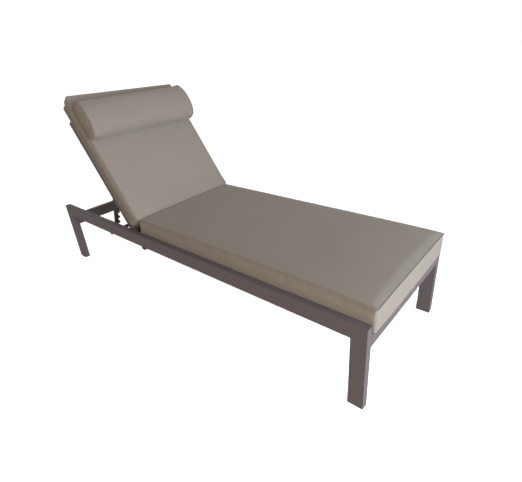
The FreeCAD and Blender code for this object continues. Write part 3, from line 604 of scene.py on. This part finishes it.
def boxed_cushion(sizes):
    """Points, panels and cloth map of a cushion whose base lies at z = 0, with its middle over the origin.

    Box: the grid on top and below, even rows between. Then, with t the share of the height above the
    shoulder and F the fullness: inwards by d F t^2, outwards by b F 4 t (1 - t), upwards by
    (rise F + crown F (1 - x^2)) z / height. Just above the shoulder the sides step out by the overhang, and
    the foot face droops by droop F at its lower edge, or swells there. Along the sides F falls to 0 at the
    foot end, and by the share head_hold at the head end.
    """
    half, half_along = sizes["half_width"], sizes["half_length"]
    tall, rows = sizes["height"], sizes["rows"]
    lines = np.meshgrid(grid_lines(half), grid_lines(half_along), indexing="ij")
    plan = np.stack(lines, -1)
    panels = Panels(plan.shape[:2], rows)
    rim = Panels.rim_of(plan)
    points = np.zeros((panels.count, 3))
    points[panels.upper] = np.concatenate([plan, np.full((*plan.shape[:2], 1), tall)], -1)
    points[panels.lower] = np.concatenate([plan, np.zeros((*plan.shape[:2], 1))], -1)
    for row in range(1, rows):
        points[panels.band[row]] = np.column_stack([rim, np.full(len(rim), tall * row / rows)])
    cloth = panels.cloth(plan, np.linspace(0.0, tall, rows + 1))
    foot_share = 1 - ease((half_along + points[:, 1:2]) / END_REACH)
    head_share = 1 - ease((half_along - points[:, 1:2]) / END_REACH)
    upright = sizes["upright_round"] + foot_share * (sizes["foot_upright_round"] - sizes["upright_round"])
    points = round_over(points, (half, half_along, tall), upright * (1.0, 1.0, 0.0))
    radii = sizes["top_round"] * (1 - foot_share - head_share)
    radii = radii + foot_share * sizes["foot_round"] + head_share * sizes["head_round"]
    points = round_over(points, (half, half_along, tall), radii)
    x, y, z = points.T
    at_foot = y <= y.min() + ON_FACE
    corner_hold = np.where(y < 0, 1.0, sizes["head_hold"])
    full_along = 1 - corner_hold * (1 - fullness(y / half_along))
    full_across = fullness(x / half)
    rise = np.clip((z - sizes["shoulder"]) / (tall - sizes["shoulder"]), 0.0, 1.0)
    tuck = sizes["base_tuck"] * np.clip(1 - z / sizes["base_round"], 0.0, 1.0) ** 2
    bulge = sizes["bulge"] * 4 * rise * (1 - rise)
    step_out = sizes["overhang"] * ease((z - STEP_START) / STEP_HEIGHT)
    grow_across = bulge * full_along - tuck - sizes["drawn_in"] * full_along * rise ** 2 + step_out
    grow_along = bulge * full_across - tuck - sizes["end_drawn_in"] * full_across * rise ** 2
    swell = sizes["swell"] * ease((half - SWELL_INSET - np.abs(x)) / SWELL_START)
    grow_along += swell * (1 - ease(z / tall)) * at_foot
    lift = (sizes["rise"] + sizes["crown"] * (1 - (x / half) ** 2)) * full_along
    droop = sizes["droop"] * full_across * (1 - ease(z / DROOP_REACH)) * at_foot
    points = np.column_stack([x * (1 + grow_across / half), y * (1 + grow_along / half_along),
                              z * (1 + lift / tall) - droop])
    return points, panels, cloth


print("Ready: boxed_cushion, whose foot end reaches", END_REACH, "m along it")

# %% [markdown]
# ## The two cushions
#
# Both cushions are nearly as wide as the gap between the rails. The seat cushion lies flat on its slats,
# and a crisp seam runs round its top. The back cushion is softer. Its cover has no seam in front, so its
# upper edges are round, and less so the lower one, which meets the seat. Above the rails it swells out over
# them.
#
# In each table `rise` and `crown` lift the top, `drawn_in` narrows it between the corners, `bulge` fills
# the sides, `overhang` and `proud` let them stand out over the rails, and `droop` is how far the seat hangs
# over the foot end. A round holds three radii, one for each axis.

# %% Seat and back cushions
SEAT = {
    "half_width": 0.3092, "half_length": 0.6255, "height": 0.0918, "rows": 12, "rise": 0.0062,
    "crown": 0.003, "drawn_in": 0.0060, "end_drawn_in": 0.0010, "bulge": 0.0012, "shoulder": 0.030,
    "base_tuck": 0.0004, "base_round": 0.006, "upright_round": 0.006, "foot_upright_round": 0.006,
    "overhang": 0.0, "proud": 0.0022, "end_proud": (0.0018, 0.0060), "droop": 0.0110, "swell": 0.0,
    "top_round": np.array([0.006, 0.006, 0.006]), "foot_round": np.array([0.006, 0.006, 0.006]),
    "head_round": np.array([0.005, 0.005, 0.005]), "head_hold": 0.15,
}
BACK = {
    "half_width": 0.3085, "half_length": 0.3494, "height": 0.1060, "rows": 16, "rise": 0.0010,
    "crown": 0.003, "drawn_in": 0.0, "end_drawn_in": 0.0, "bulge": 0.0012, "shoulder": 0.030,
    "base_tuck": 0.0010, "base_round": 0.006, "upright_round": 0.004, "foot_upright_round": 0.024,
    "overhang": 0.0090, "proud": 0.0110, "end_proud": (0.0095, 0.0011), "droop": 0.0, "swell": 0.0085,
    "top_round": np.array([0.022, 0.022, 0.020]), "foot_round": np.array([0.012, 0.006, 0.009]),
    "head_round": np.array([0.012, 0.010, 0.011]), "head_hold": 1.0,
}
seat_points, seat_panels, seat_cloth = boxed_cushion(SEAT)
back_points, back_panels, back_cloth = boxed_cushion(BACK)
seat = make_piece("seat_cushion_cover", seat_points, seat_panels.faces(), seat_cloth, CUSHION_CLOTH)
back = make_piece("back_cushion_cover", back_points, back_panels.faces(), back_cloth, CUSHION_CLOTH)
# Painted shade: a darker line along the seat's top seam.
mark_seam_shade(seat, seat_panels.band[-1])
print("Seat cushion:", len(seat_points), "points. Back cushion:", len(back_points), "points")

# %% [markdown]
# ## The head pillow
#
# The pillow is a roll: one long panel wrapped round, closed at each end by an oval panel with a seam. Its
# section is round in front and nearly flat behind, where it lies on the cushion. It lay with its filling
# pushed to the far side: there the end panel stands out as a dome, while the near one is nearly flat and
# its seam lies close to the end. The same three kinds of panel serve as on a cushion, with the band as the
# roll.

# %% Head pillow
PILLOW = {
    "half_height": 0.0990, "half_thickness": 0.0475, "seams": (-0.3180, 0.2900), "domes": (0.005, 0.0235),
    "dome_powers": (3, 0.45), "end_shares": (0.92, 0.99), "front_power": 2.1, "back_power": 4.5,
    "end_power": 14, "grid": 21, "rows": 64,
}


def oval(a, b, sizes):
    """Stretch the unit disc to an oval: at the turn t, r (|cos t| ^ (2 / p), |sin t| ^ (2 / p)) with signs.

    The power p is larger behind, which makes the oval flatter there.
    """
    radius = np.hypot(a, b)
    wave = np.stack([a, b], -1) / np.maximum(radius, TINY)[..., None]
    power = np.where(b > 0, sizes["front_power"], sizes["back_power"])[..., None]
    full = np.sign(wave) * np.abs(wave) ** (2 / power)
    return full * radius[..., None] * (sizes["half_height"], sizes["half_thickness"])


def roll_pillow(sizes):
    """Points, panels and cloth map of the roll, whose ends are drawn in by 1 - (1 - end) |t| ^ power.

    The end panels rise from their rims by dome (1 - r^p) ^ q, with p and q the dome powers.
    """
    lines = np.sin(np.linspace(-np.pi / 2, np.pi / 2, sizes["grid"]))
    disc = square_to_disc(*np.meshgrid(lines, lines, indexing="ij"))
    panels = Panels(disc[0].shape, sizes["rows"])
    section = oval(*disc, sizes)
    rim = Panels.rim_of(section)
    share = np.sin(np.linspace(-np.pi / 2, np.pi / 2, sizes["rows"] + 1))
    near, far = sizes["seams"]
    places = (near + far) / 2 + share * (far - near) / 2
    end_share = np.where(share < 0, *sizes["end_shares"])
    scale = 1 - (1 - end_share) * np.abs(share) ** sizes["end_power"]
    inner_power, outer_power = sizes["dome_powers"]
    dome = np.maximum(1 - np.hypot(*disc) ** inner_power, 0.0) ** outer_power
    points = np.zeros((panels.count, 3))
    for numbers, place, height, size in ((panels.lower, near, -sizes["domes"][0], scale[0]),
                                         (panels.upper, far, sizes["domes"][1], scale[-1])):
        points[numbers] = np.concatenate([(place + height * dome)[..., None], section * size], -1)
    for numbers, place, size in zip(panels.band[1:-1], places[1:-1], scale[1:-1]):
        points[numbers] = np.column_stack([np.full(len(rim), place), rim * size])
    return points, panels, panels.cloth(section, places)


pillow_points, pillow_panels, pillow_cloth = roll_pillow(PILLOW)
pillow = make_piece("head_pillow_cover", pillow_points, pillow_panels.faces(), pillow_cloth, CUSHION_CLOTH)
# Painted shade: darker lines along the seams at the pillow's ends.
mark_seam_shade(pillow, pillow_panels.band[[0, -1]])
print("Head pillow:", len(pillow_points), "points")

# %% [markdown]
# ## Letting air into the covers
#
# Foam presses its cover out from inside. Cloth simulation shows that well: the cover is held where it lies
# on something and along its seams, air pressure pushes the rest out, and the panels curve between the seams
# as a real cover does. A little spare cloth lets small folds form. The movement of each point is capped, so
# that a cushion keeps the size of its foam.

# %% Cloth simulation
PRESSURE = 4.0
QUALITY = 6
LAST_FRAME = 20


def hold(thing, numbers):
    """Pin these points of a cover."""
    group = thing.vertex_groups.get("held") or thing.vertex_groups.new(name="held")
    group.add([int(number) for number in np.ravel(numbers)], 1.0, "REPLACE")


def inflate(covers):
    """Run the cloth simulation on all covers at once. covers holds (object, cap, share of spare cloth)."""
    for thing, _, spare in covers:
        air = thing.modifiers.new("air", "CLOTH")
        air.settings.quality = QUALITY
        air.settings.use_pressure = True
        air.settings.uniform_pressure_force = PRESSURE
        air.settings.effector_weights.gravity = 0.0
        air.settings.shrink_min = -spare
        air.settings.vertex_group_mass = "held"
        air.point_cache.frame_start = 1
        air.point_cache.frame_end = LAST_FRAME
    for step in range(1, LAST_FRAME + 1):
        bpy.context.scene.frame_set(step)
    depsgraph = bpy.context.evaluated_depsgraph_get()
    results = []
    for thing, cap, _ in covers:
        start = read_points(thing.data)
        moved = read_points(thing.evaluated_get(depsgraph).data) - start
        length = np.linalg.norm(moved, axis=1, keepdims=True)
        results.append(start + moved * np.minimum(1.0, cap / np.maximum(length, TINY)))
        print(thing.name, "moved up to", round(float(length.max()) * 1000, 1), "mm")
    for (thing, _, _), points in zip(covers, results):
        thing.modifiers.clear()
        write_points(thing, points)
    bpy.context.scene.frame_set(1)


print("Ready: inflate, at a pressure of", PRESSURE)

# %% [markdown]
# The seat is blown up least, because its foam is firm and its seam is straight. Each cover is held along
# the rims of its panels. The cushions are held on their undersides too, and the pillow where it lies on the
# back.

# %% Inflate the covers
SEAT_CAP = 0.0030
BACK_CAP = 0.005
PILLOW_CAP = 0.006
SPARE_CLOTH = 0.003
SEAT_SPARE = 0.0015
UNDERSIDE_SHARE = 0.80

hold(seat, seat_panels.lower)
hold(seat, seat_panels.band[-1])
hold(back, back_panels.lower)
hold(back, back_panels.band[-1])
hold(pillow, pillow_panels.band[[0, -1]])
hold(pillow, np.flatnonzero(pillow_points[:, 2] < -UNDERSIDE_SHARE * PILLOW["half_thickness"]))
inflate([(seat, SEAT_CAP, SEAT_SPARE), (back, BACK_CAP, SPARE_CLOTH), (pillow, PILLOW_CAP, SPARE_CLOTH)])
held_below = seat_panels.lower.size + back_panels.lower.size
print("The cushions are held at", held_below, "points of their undersides")

# %% [markdown]
# ## Creases at the seams
#
# Where the top panel meets the boxing, the stitches gather the cloth a little, and short creases run in
# from the seam. They are deepest near the corners. The simulation's mesh is too coarse for them, so they
# are added by formula, and with them the slow waves that foam shows under its cover.

# %% Creases and waves
CREASE_PITCH = 0.034
CREASE_REACH = 0.016
CREASE_DEPTH = 0.0015
CREASE_AWAY_SHARE = 0.12
CREASE_DRIFT_SHARES = (0.2, 0.3)
CREASE_DRIFT_TURNS = (61.0, 23.0)
CORNER_CREASE_REACH = 0.11
WAVE_DEPTH = 0.0009
WAVE_PITCH = 0.27
WAVE_INSET = 0.08
WAVE_SLANTS = (0.4, -0.3)
SECOND_WAVE_SHARE = 0.77
SECOND_WAVE_START = 1.3


def slow_wave(a, b):
    """Half of sin(turn (a + slant b)) and half of a longer sin(turn' (b + slant' a) + start)."""
    turn = 2 * np.pi / WAVE_PITCH
    first = np.sin(turn * (a + WAVE_SLANTS[0] * b))
    second = np.sin(turn * SECOND_WAVE_SHARE * (b + WAVE_SLANTS[1] * a) + SECOND_WAVE_START)
    return 0.5 * (first + second)


def creases(way, inward, corner):
    """Depth (away + e^(-corner / reach)) e^(-inward / reach) sin^2(pi way' / pitch), way' a little uneven."""
    drift = sum(share * np.sin(way * turn) for share, turn in zip(CREASE_DRIFT_SHARES, CREASE_DRIFT_TURNS))
    folds = np.sin(np.pi * (way / CREASE_PITCH + drift)) ** 2
    depth = CREASE_DEPTH * (CREASE_AWAY_SHARE + np.exp(-corner / CORNER_CREASE_REACH))
    return depth * np.exp(-np.maximum(inward, 0.0) / CREASE_REACH) * folds


def crease_cushion(thing, panels, sizes, seam):
    """Add slow waves to the top, and press the creases of a seam into it and into the upper boxing.

    seam is 1 for a cushion with a seam round its top, and 0 for one without.
    """
    start = read_points(thing.data)
    points = start.copy()
    halves = np.array([sizes["half_width"], sizes["half_length"]])
    top = points[panels.upper[1:-1, 1:-1]]
    edge = halves - np.abs(top[..., :2])
    inward, corner = edge.min(-1), edge.max(-1)
    way = np.where(edge[..., 0] < edge[..., 1], top[..., 1], top[..., 0])
    top[..., 2] += WAVE_DEPTH * np.clip(inward / WAVE_INSET, 0.0, 1.0) * slow_wave(top[..., 0], top[..., 1])
    top[..., 2] -= seam * creases(way, inward, corner)
    points[panels.upper[1:-1, 1:-1]] = top
    rim = points[panels.band[-1]]
    for numbers in panels.band[1:-1]:
        side = points[numbers]
        edge = halves - np.abs(side[:, :2])
        across = edge.argmin(1)
        way = np.where(across == 0, side[:, 1], side[:, 0])
        depth = seam * creases(way + CREASE_PITCH / 2, rim[:, 2] - side[:, 2], edge.max(1))
        picked = np.arange(len(side)), across
        side[picked] -= np.sign(side[picked]) * depth
        points[numbers] = side
    write_points(thing, points)
    print(thing.name, "changed by up to", round(float(np.abs(points - start).max()) * 1000, 1), "mm")


crease_cushion(seat, seat_panels, SEAT, 1.0)
crease_cushion(back, back_panels, BACK, 0.0)

# %% [markdown]
# ## Room for the rails and slats
#
# A soft cushion gives way to what it touches. Its base is flat on the slats, and as far up as the rails
# reach its sides are flat too. Above the rails it may stand a little proud of them. The simulation knows
# nothing of the frame, so the points are kept within these limits afterwards.

# %% Give way to the rails
PROUD_RATE = 1.5


def give_way(thing, sizes):
    """Clip |x| to half the width, and to proud of it above the rails, y to the ends, z to the deck at 0.

    Beyond the deck, at the foot end, z may go down to -droop.
    """
    points = read_points(thing.data)
    above = (points[:, 2] - STEP_START) / STEP_HEIGHT
    limit = sizes["half_width"] + sizes["proud"] * ease(above * PROUD_RATE)
    foot_limit, head_limit = sizes["half_length"] + np.array(sizes["end_proud"])
    points[:, 0] = np.clip(points[:, 0], -limit, limit)
    points[:, 1] = np.clip(points[:, 1], -foot_limit, head_limit)
    over_the_edge = points[:, 1] < -sizes["half_length"]
    points[:, 2] = np.maximum(points[:, 2], np.where(over_the_edge, -sizes["droop"], 0.0))
    write_points(thing, points)
    return points


seat_final = give_way(seat, SEAT)
back_final = give_way(back, BACK)
print("The back cushion is", round(float(np.ptp(back_final[:, 0])), 3), "m wide")

# %% [markdown]
# ## Room for the back under the pillow
#
# The underside of the pillow follows the back cushion, wherever the pillow is pushed. So the height of the
# cushion is read at several places along the pillow's way, and the pillow keeps clear of the highest.

# %% Give way to the back cushion
BACK_MIDDLE = 0.3994
BACK_BASE = 0.0155
PILLOW_MIDDLE = 0.5830
PILLOW_LEVEL = 0.1730
UNDER_PILLOW = 0.0048
LIFT = next(joint for joint in frame["joints"] if joint["name"] == "headrest_lift")["range_m"][1]
LIFT_PLACES = 7


def height_of_back(across, along):
    """Height of the back cushion's front at (x, y), between its grid lines.

    With a and b the shares of the way to the next lines: z00 (1-a)(1-b) + z10 a(1-b) + z01 (1-a)b + z11 ab.
    """
    top = back_final[back_panels.upper]
    lines_x, lines_y = top[:, top.shape[1] // 2, 0], top[top.shape[0] // 2, :, 1]
    column = np.interp(across, lines_x, np.arange(len(lines_x)))
    row = np.interp(along, lines_y, np.arange(len(lines_y)))
    i = np.minimum(column.astype(int), len(lines_x) - 2)
    j = np.minimum(row.astype(int), len(lines_y) - 2)
    a, b = column - i, row - j
    z = top[..., 2]
    this_row = z[i, j] * (1 - a) + z[i + 1, j] * a
    next_row = z[i, j + 1] * (1 - a) + z[i + 1, j + 1] * a
    return this_row * (1 - b) + next_row * b


pillow_final = read_points(pillow.data)
bed = np.max([height_of_back(pillow_final[:, 0], pillow_final[:, 1] + PILLOW_MIDDLE - BACK_MIDDLE + up)
              for up in np.linspace(0.0, LIFT, LIFT_PLACES)], axis=0)
lowest = bed + BACK_BASE + UNDER_PILLOW - PILLOW_LEVEL
pressed_in = round(float((lowest - pillow_final[:, 2]).max()) * 1000, 1)
pillow_final[:, 2] = np.maximum(pillow_final[:, 2], lowest)
write_points(pillow, pillow_final)
print("The back cushion presses the pillow in by up to", pressed_in, "mm")

# %% [markdown]
# ## Piping
#
# The seat's top seam is finished with piping: a thin cord wrapped in the same cloth and sewn in between the
# two panels. It is a tube carried along the seam, just below the rim of the top panel, whose points the
# simulation did not move. The ends of the pillow have the same piping, a little thinner.

# %% Piping
PIPE_SIDES = 10


def carry_tube(path, axis, radius, lift):
    """A closed tube round a closed path: at each point a circle in the plane of the axis and outward.

    Outward is the cross product of the path's direction and the axis. lift moves the centre outwards.
    """
    ahead = np.roll(path, -1, 0) - np.roll(path, 1, 0)
    outward = np.cross(ahead, axis)
    outward /= np.linalg.norm(outward, axis=1, keepdims=True)
    turn = np.linspace(0, 2 * np.pi, PIPE_SIDES, endpoint=False)
    ring = np.cos(turn)[None, :, None] * outward[:, None] + np.sin(turn)[None, :, None] * np.asarray(axis)
    points = (path + lift * outward)[:, None] + radius * ring
    numbers = np.arange(points[..., 0].size).reshape(points.shape[:2])
    loop = np.concatenate([numbers, numbers[:1]])
    loop = np.concatenate([loop, loop[:, :1]], 1)
    way = np.concatenate([[0.0], np.cumsum(np.linalg.norm(np.roll(path, -1, 0) - path, axis=1))])
    round_way = np.linspace(0.0, 2 * np.pi * radius, PIPE_SIDES + 1)
    corners = grid_faces(np.arange(loop.size).reshape(loop.shape))
    cloth = np.stack(np.meshgrid(way, round_way, indexing="ij"), -1).reshape(-1, 2)[corners].reshape(-1, 2)
    return points.reshape(-1, 3), grid_faces(loop), cloth


SEAT_PIPE = 0.0023
BELOW_RIM = np.array([0.0, 0.0, 0.0024])
PILLOW_PIPE = 0.0019
PILLOW_PIPE_LIFT = 0.0004
seat_pipe_points, seat_pipe_faces, seat_pipe_cloth = carry_tube(
    seat_final[seat_panels.band[-1]] - BELOW_RIM, (0.0, 0.0, 1.0), SEAT_PIPE, SEAT_PIPE)
pillow_pipes = [
    carry_tube(pillow_final[pillow_panels.band[row]], (1.0, 0.0, 0.0), PILLOW_PIPE, PILLOW_PIPE_LIFT)
    for row in (0, -1)]
print("Piping round the seat:", len(seat_pipe_points), "points")

# %% [markdown]
# ## Into place
#
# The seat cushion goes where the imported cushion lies, a little further to the head end. The back cushion,
# the pillow and the flap lie in the plane of the backrest, which leans back from the hinge. `lean` turns a
# point (x, s, h), s along the backrest and h above it, into the lounger's frame: y = hinge + s cos - h sin,
# z = hinge + s sin + h cos.

# %% Into place
LEAN = np.radians(55.0)
HINGE = next(joint for joint in frame["joints"] if joint["name"] == "backrest_recline")["pos_m"]
END_DROP = 0.017
SEAT_AHEAD = 0.0040
ABOVE_DECK = 0.0002


def lean(points):
    """Turn rows (x, s, h) by the angle of the backrest, round the hinge."""
    x, s, h = points.T
    return np.column_stack([x, HINGE[1] + s * np.cos(LEAN) - h * np.sin(LEAN),
                            HINGE[2] + s * np.sin(LEAN) + h * np.cos(LEAN)])


def sag(points):
    """The top end of the back hangs a little lower at the far side: along -= drop (x' + 1) / 2 along'^2."""
    aside = (points[:, :1] / BACK["half_width"] + 1) / 2
    share = np.clip(points[:, 1:2] / BACK["half_length"], 0.0, 1.0)
    return points - END_DROP * aside * share ** 2 * (0.0, 1.0, 0.0)


seat_low, seat_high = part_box("seat_cushion")
seat_shift = (0.0, (seat_low.y + seat_high.y) / 2 + SEAT_AHEAD, seat_low.z + ABOVE_DECK)
write_points(seat, seat_final + seat_shift)
write_points(back, lean(sag(back_final) + (0.0, BACK_MIDDLE, BACK_BASE)))
write_points(pillow, lean(pillow_final + (0.0, PILLOW_MIDDLE, PILLOW_LEVEL)))
seat_pipe = make_piece("seat_piping", seat_pipe_points + seat_shift, seat_pipe_faces, seat_pipe_cloth,
                       CUSHION_CLOTH)
pillow_pipe_pieces = [
    make_piece(f"{word}_pillow_piping", lean(points + (0.0, PILLOW_MIDDLE, PILLOW_LEVEL)), faces, cloth,
               CUSHION_CLOTH)
    for word, (points, faces, cloth) in zip(("left", "right"), pillow_pipes)]
print("The top of the pillow is", round(float(read_points(pillow.data)[:, 2].max()), 3), "m above the floor")

# %% [markdown]
# ## The flap
#
# The pillow hangs on a flap: a sheet of the same cloth, sewn to the back of the roll. It runs up the front
# of the back cushion, over its top edge and down its top end, where it is hemmed. It lies on the cushion,
# so it is made from the cushion's own grid lines, lifted off by a small gap. A simulation would need a long
# time to lay it as flat. Solidify gives it the thickness of two layers of cloth.

# %% Flap
FLAP = {"half_width": 0.3060, "start": 0.6000, "hem": 0.0140, "gap": 0.0009, "thickness": 0.0014}
HEM_ROW = -3


def flap_points(sizes):
    """The cushion's surface from under the pillow, over its edge and down to the hem, moved out by the gap.

    Outward is the cross product of the surface's two directions.
    """
    top = back_final[back_panels.upper]
    last_x, last_y = top.shape[0] - 1, top.shape[1] - 1
    columns = np.flatnonzero(np.abs(top[:, last_y // 2, 0]) <= sizes["half_width"])
    first = np.searchsorted(top[last_x // 2, :, 1], sizes["start"] - BACK_MIDDLE)
    # The rim's third stretch runs along the head end, from +X to -X
    head_side = 2 * last_x + last_y - columns
    end_face = back_final[back_panels.band[-2::-1, head_side]]
    end_face = end_face[end_face[:, len(columns) // 2, 2] >= sizes["hem"]].transpose(1, 0, 2)
    lie = np.concatenate([top[columns, first:], end_face], 1)
    outward = np.cross(np.gradient(lie, axis=0), np.gradient(lie, axis=1))
    outward /= np.linalg.norm(outward, axis=-1, keepdims=True)
    middle_column, front_row = len(columns) // 2, lie.shape[1] // 4
    across = np.linalg.norm(np.diff(lie[:, front_row], axis=0), axis=1)
    way = np.linalg.norm(np.diff(lie[middle_column], axis=0), axis=1)
    return lie + sizes["gap"] * outward, np.append(0.0, np.cumsum(across)), np.append(0.0, np.cumsum(way))


flap_grid, flap_across, flap_way = flap_points(FLAP)
flap_numbers = np.arange(flap_grid[..., 0].size).reshape(flap_grid.shape[:2])
flap_corners = grid_faces(flap_numbers)
flap_cloth = np.stack(np.meshgrid(flap_across, flap_way, indexing="ij"), -1).reshape(-1, 2)
flap = make_piece("pillow_flap_cloth", lean(sag(flap_grid.reshape(-1, 3)) + (0.0, BACK_MIDDLE, BACK_BASE)),
                  flap_corners, flap_cloth[flap_corners].reshape(-1, 2), CUSHION_CLOTH)
# Painted shade: a darker line along the flap's hem, as along a seam.
mark_seam_shade(flap, flap_numbers[:, HEM_ROW])

# %% [markdown]
# ## Smoothing
#
# One level of subdivision rounds what the grids left angular. It is the same in the view and in the render.

# %% Smoothing
for thing in (seat, back, pillow, flap):
    smooth = thing.modifiers.new("smooth", "SUBSURF")
    smooth.levels = 1
    smooth.render_levels = 1
two_layers = flap.modifiers.new("two_layers", "SOLIDIFY")
two_layers.thickness = FLAP["thickness"]
two_layers.offset = 1.0
print("Smoothed four pieces, and made the flap", FLAP["thickness"] * 1000, "mm thick")

# %% [markdown]
# ## What rides on what
#
# On the real lounger the flap goes up with the pillow at its seam, and its free end stays on the cushion's
# top end, so that when the pillow is pushed up the slack folds behind it. Here the flap is not tied to
# either and doesn't bend: only the heights of its seam and of its free end are worked out. The cushions
# and the pillow, with their piping, ride on the bodies of the pieces they replace.

# %% Bodies and soft pieces
SLACK_SHORT = 0.004
SLACK_START = lean(np.array([[0.0, FLAP["start"], 0.0]]))[0]
SLACK_END = lean(np.array([[0.0, BACK_MIDDLE + BACK["half_length"] - SLACK_SHORT, 0.0]]))[0]
for thing, body, node in ((seat, "frame", "seat_cushion"), (back, "back_cushion", "back_cushion"),
                          (pillow, "headrest", "head_pillow")):
    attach(thing, body)
    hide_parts(node)
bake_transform(flap)
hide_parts("pillow_flap")
for thing, body in ((seat_pipe, "frame"), *((pipe, "headrest") for pipe in pillow_pipe_pieces)):
    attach(thing, body)
print("The flap bends between heights", round(float(SLACK_START[2]), 3), "and", round(float(SLACK_END[2]), 3))

# %% [markdown]
# ## The floor
#
# A plain pale floor takes the shadows of the legs. In a studio the floor and the wall behind are lit by a
# lamp of their own until they are white. That lamp is a soft sun from above, and light linking lets it fall
# on the floor alone, so the lounger isn't lit by it. So white a floor would still throw too much light
# back, so it is hidden from diffuse and glossy rays. The lounger doesn't block the floor's lamp, which
# keeps its shadow light.

# %% Floor
FLOOR_HALF = 30.0
FLOOR_COLOUR = (0.88, 0.88, 0.88, 1.0)
FLOOR_LAMP_STRENGTH = 3.5
FLOOR_LAMP_COLOUR = (0.94, 0.97, 1.0)
FLOOR_LAMP_SPREAD = np.radians(70.0)

floor_material, _, _ = principled("pale_floor", {"Base Color": FLOOR_COLOUR, "Roughness": 0.9,
                                                 "Specular IOR Level": 0.1})
floor_points = np.array([[-1, -1, 0], [1, -1, 0], [1, 1, 0], [-1, 1, 0]], float) * FLOOR_HALF
floor = make_piece("floor", floor_points, np.array([[0, 1, 2, 3]]), finish=floor_material)
floor.visible_diffuse = False
floor.visible_glossy = False

floor_only = bpy.data.collections.new("floor_only")
floor_only.objects.link(floor)
floor_lamp_data = bpy.data.lights.new("floor_lamp", "SUN")
floor_lamp_data.energy = FLOOR_LAMP_STRENGTH
floor_lamp_data.color = FLOOR_LAMP_COLOUR
floor_lamp_data.angle = FLOOR_LAMP_SPREAD
floor_lamp = bpy.data.objects.new("floor_lamp", floor_lamp_data)
bpy.context.scene.collection.objects.link(floor_lamp)
floor_lamp.light_linking.receiver_collection = floor_only
floor_lamp.light_linking.blocker_collection = floor_only
print("A floor of", 2 * FLOOR_HALF, "m, lit by a lamp of its own")
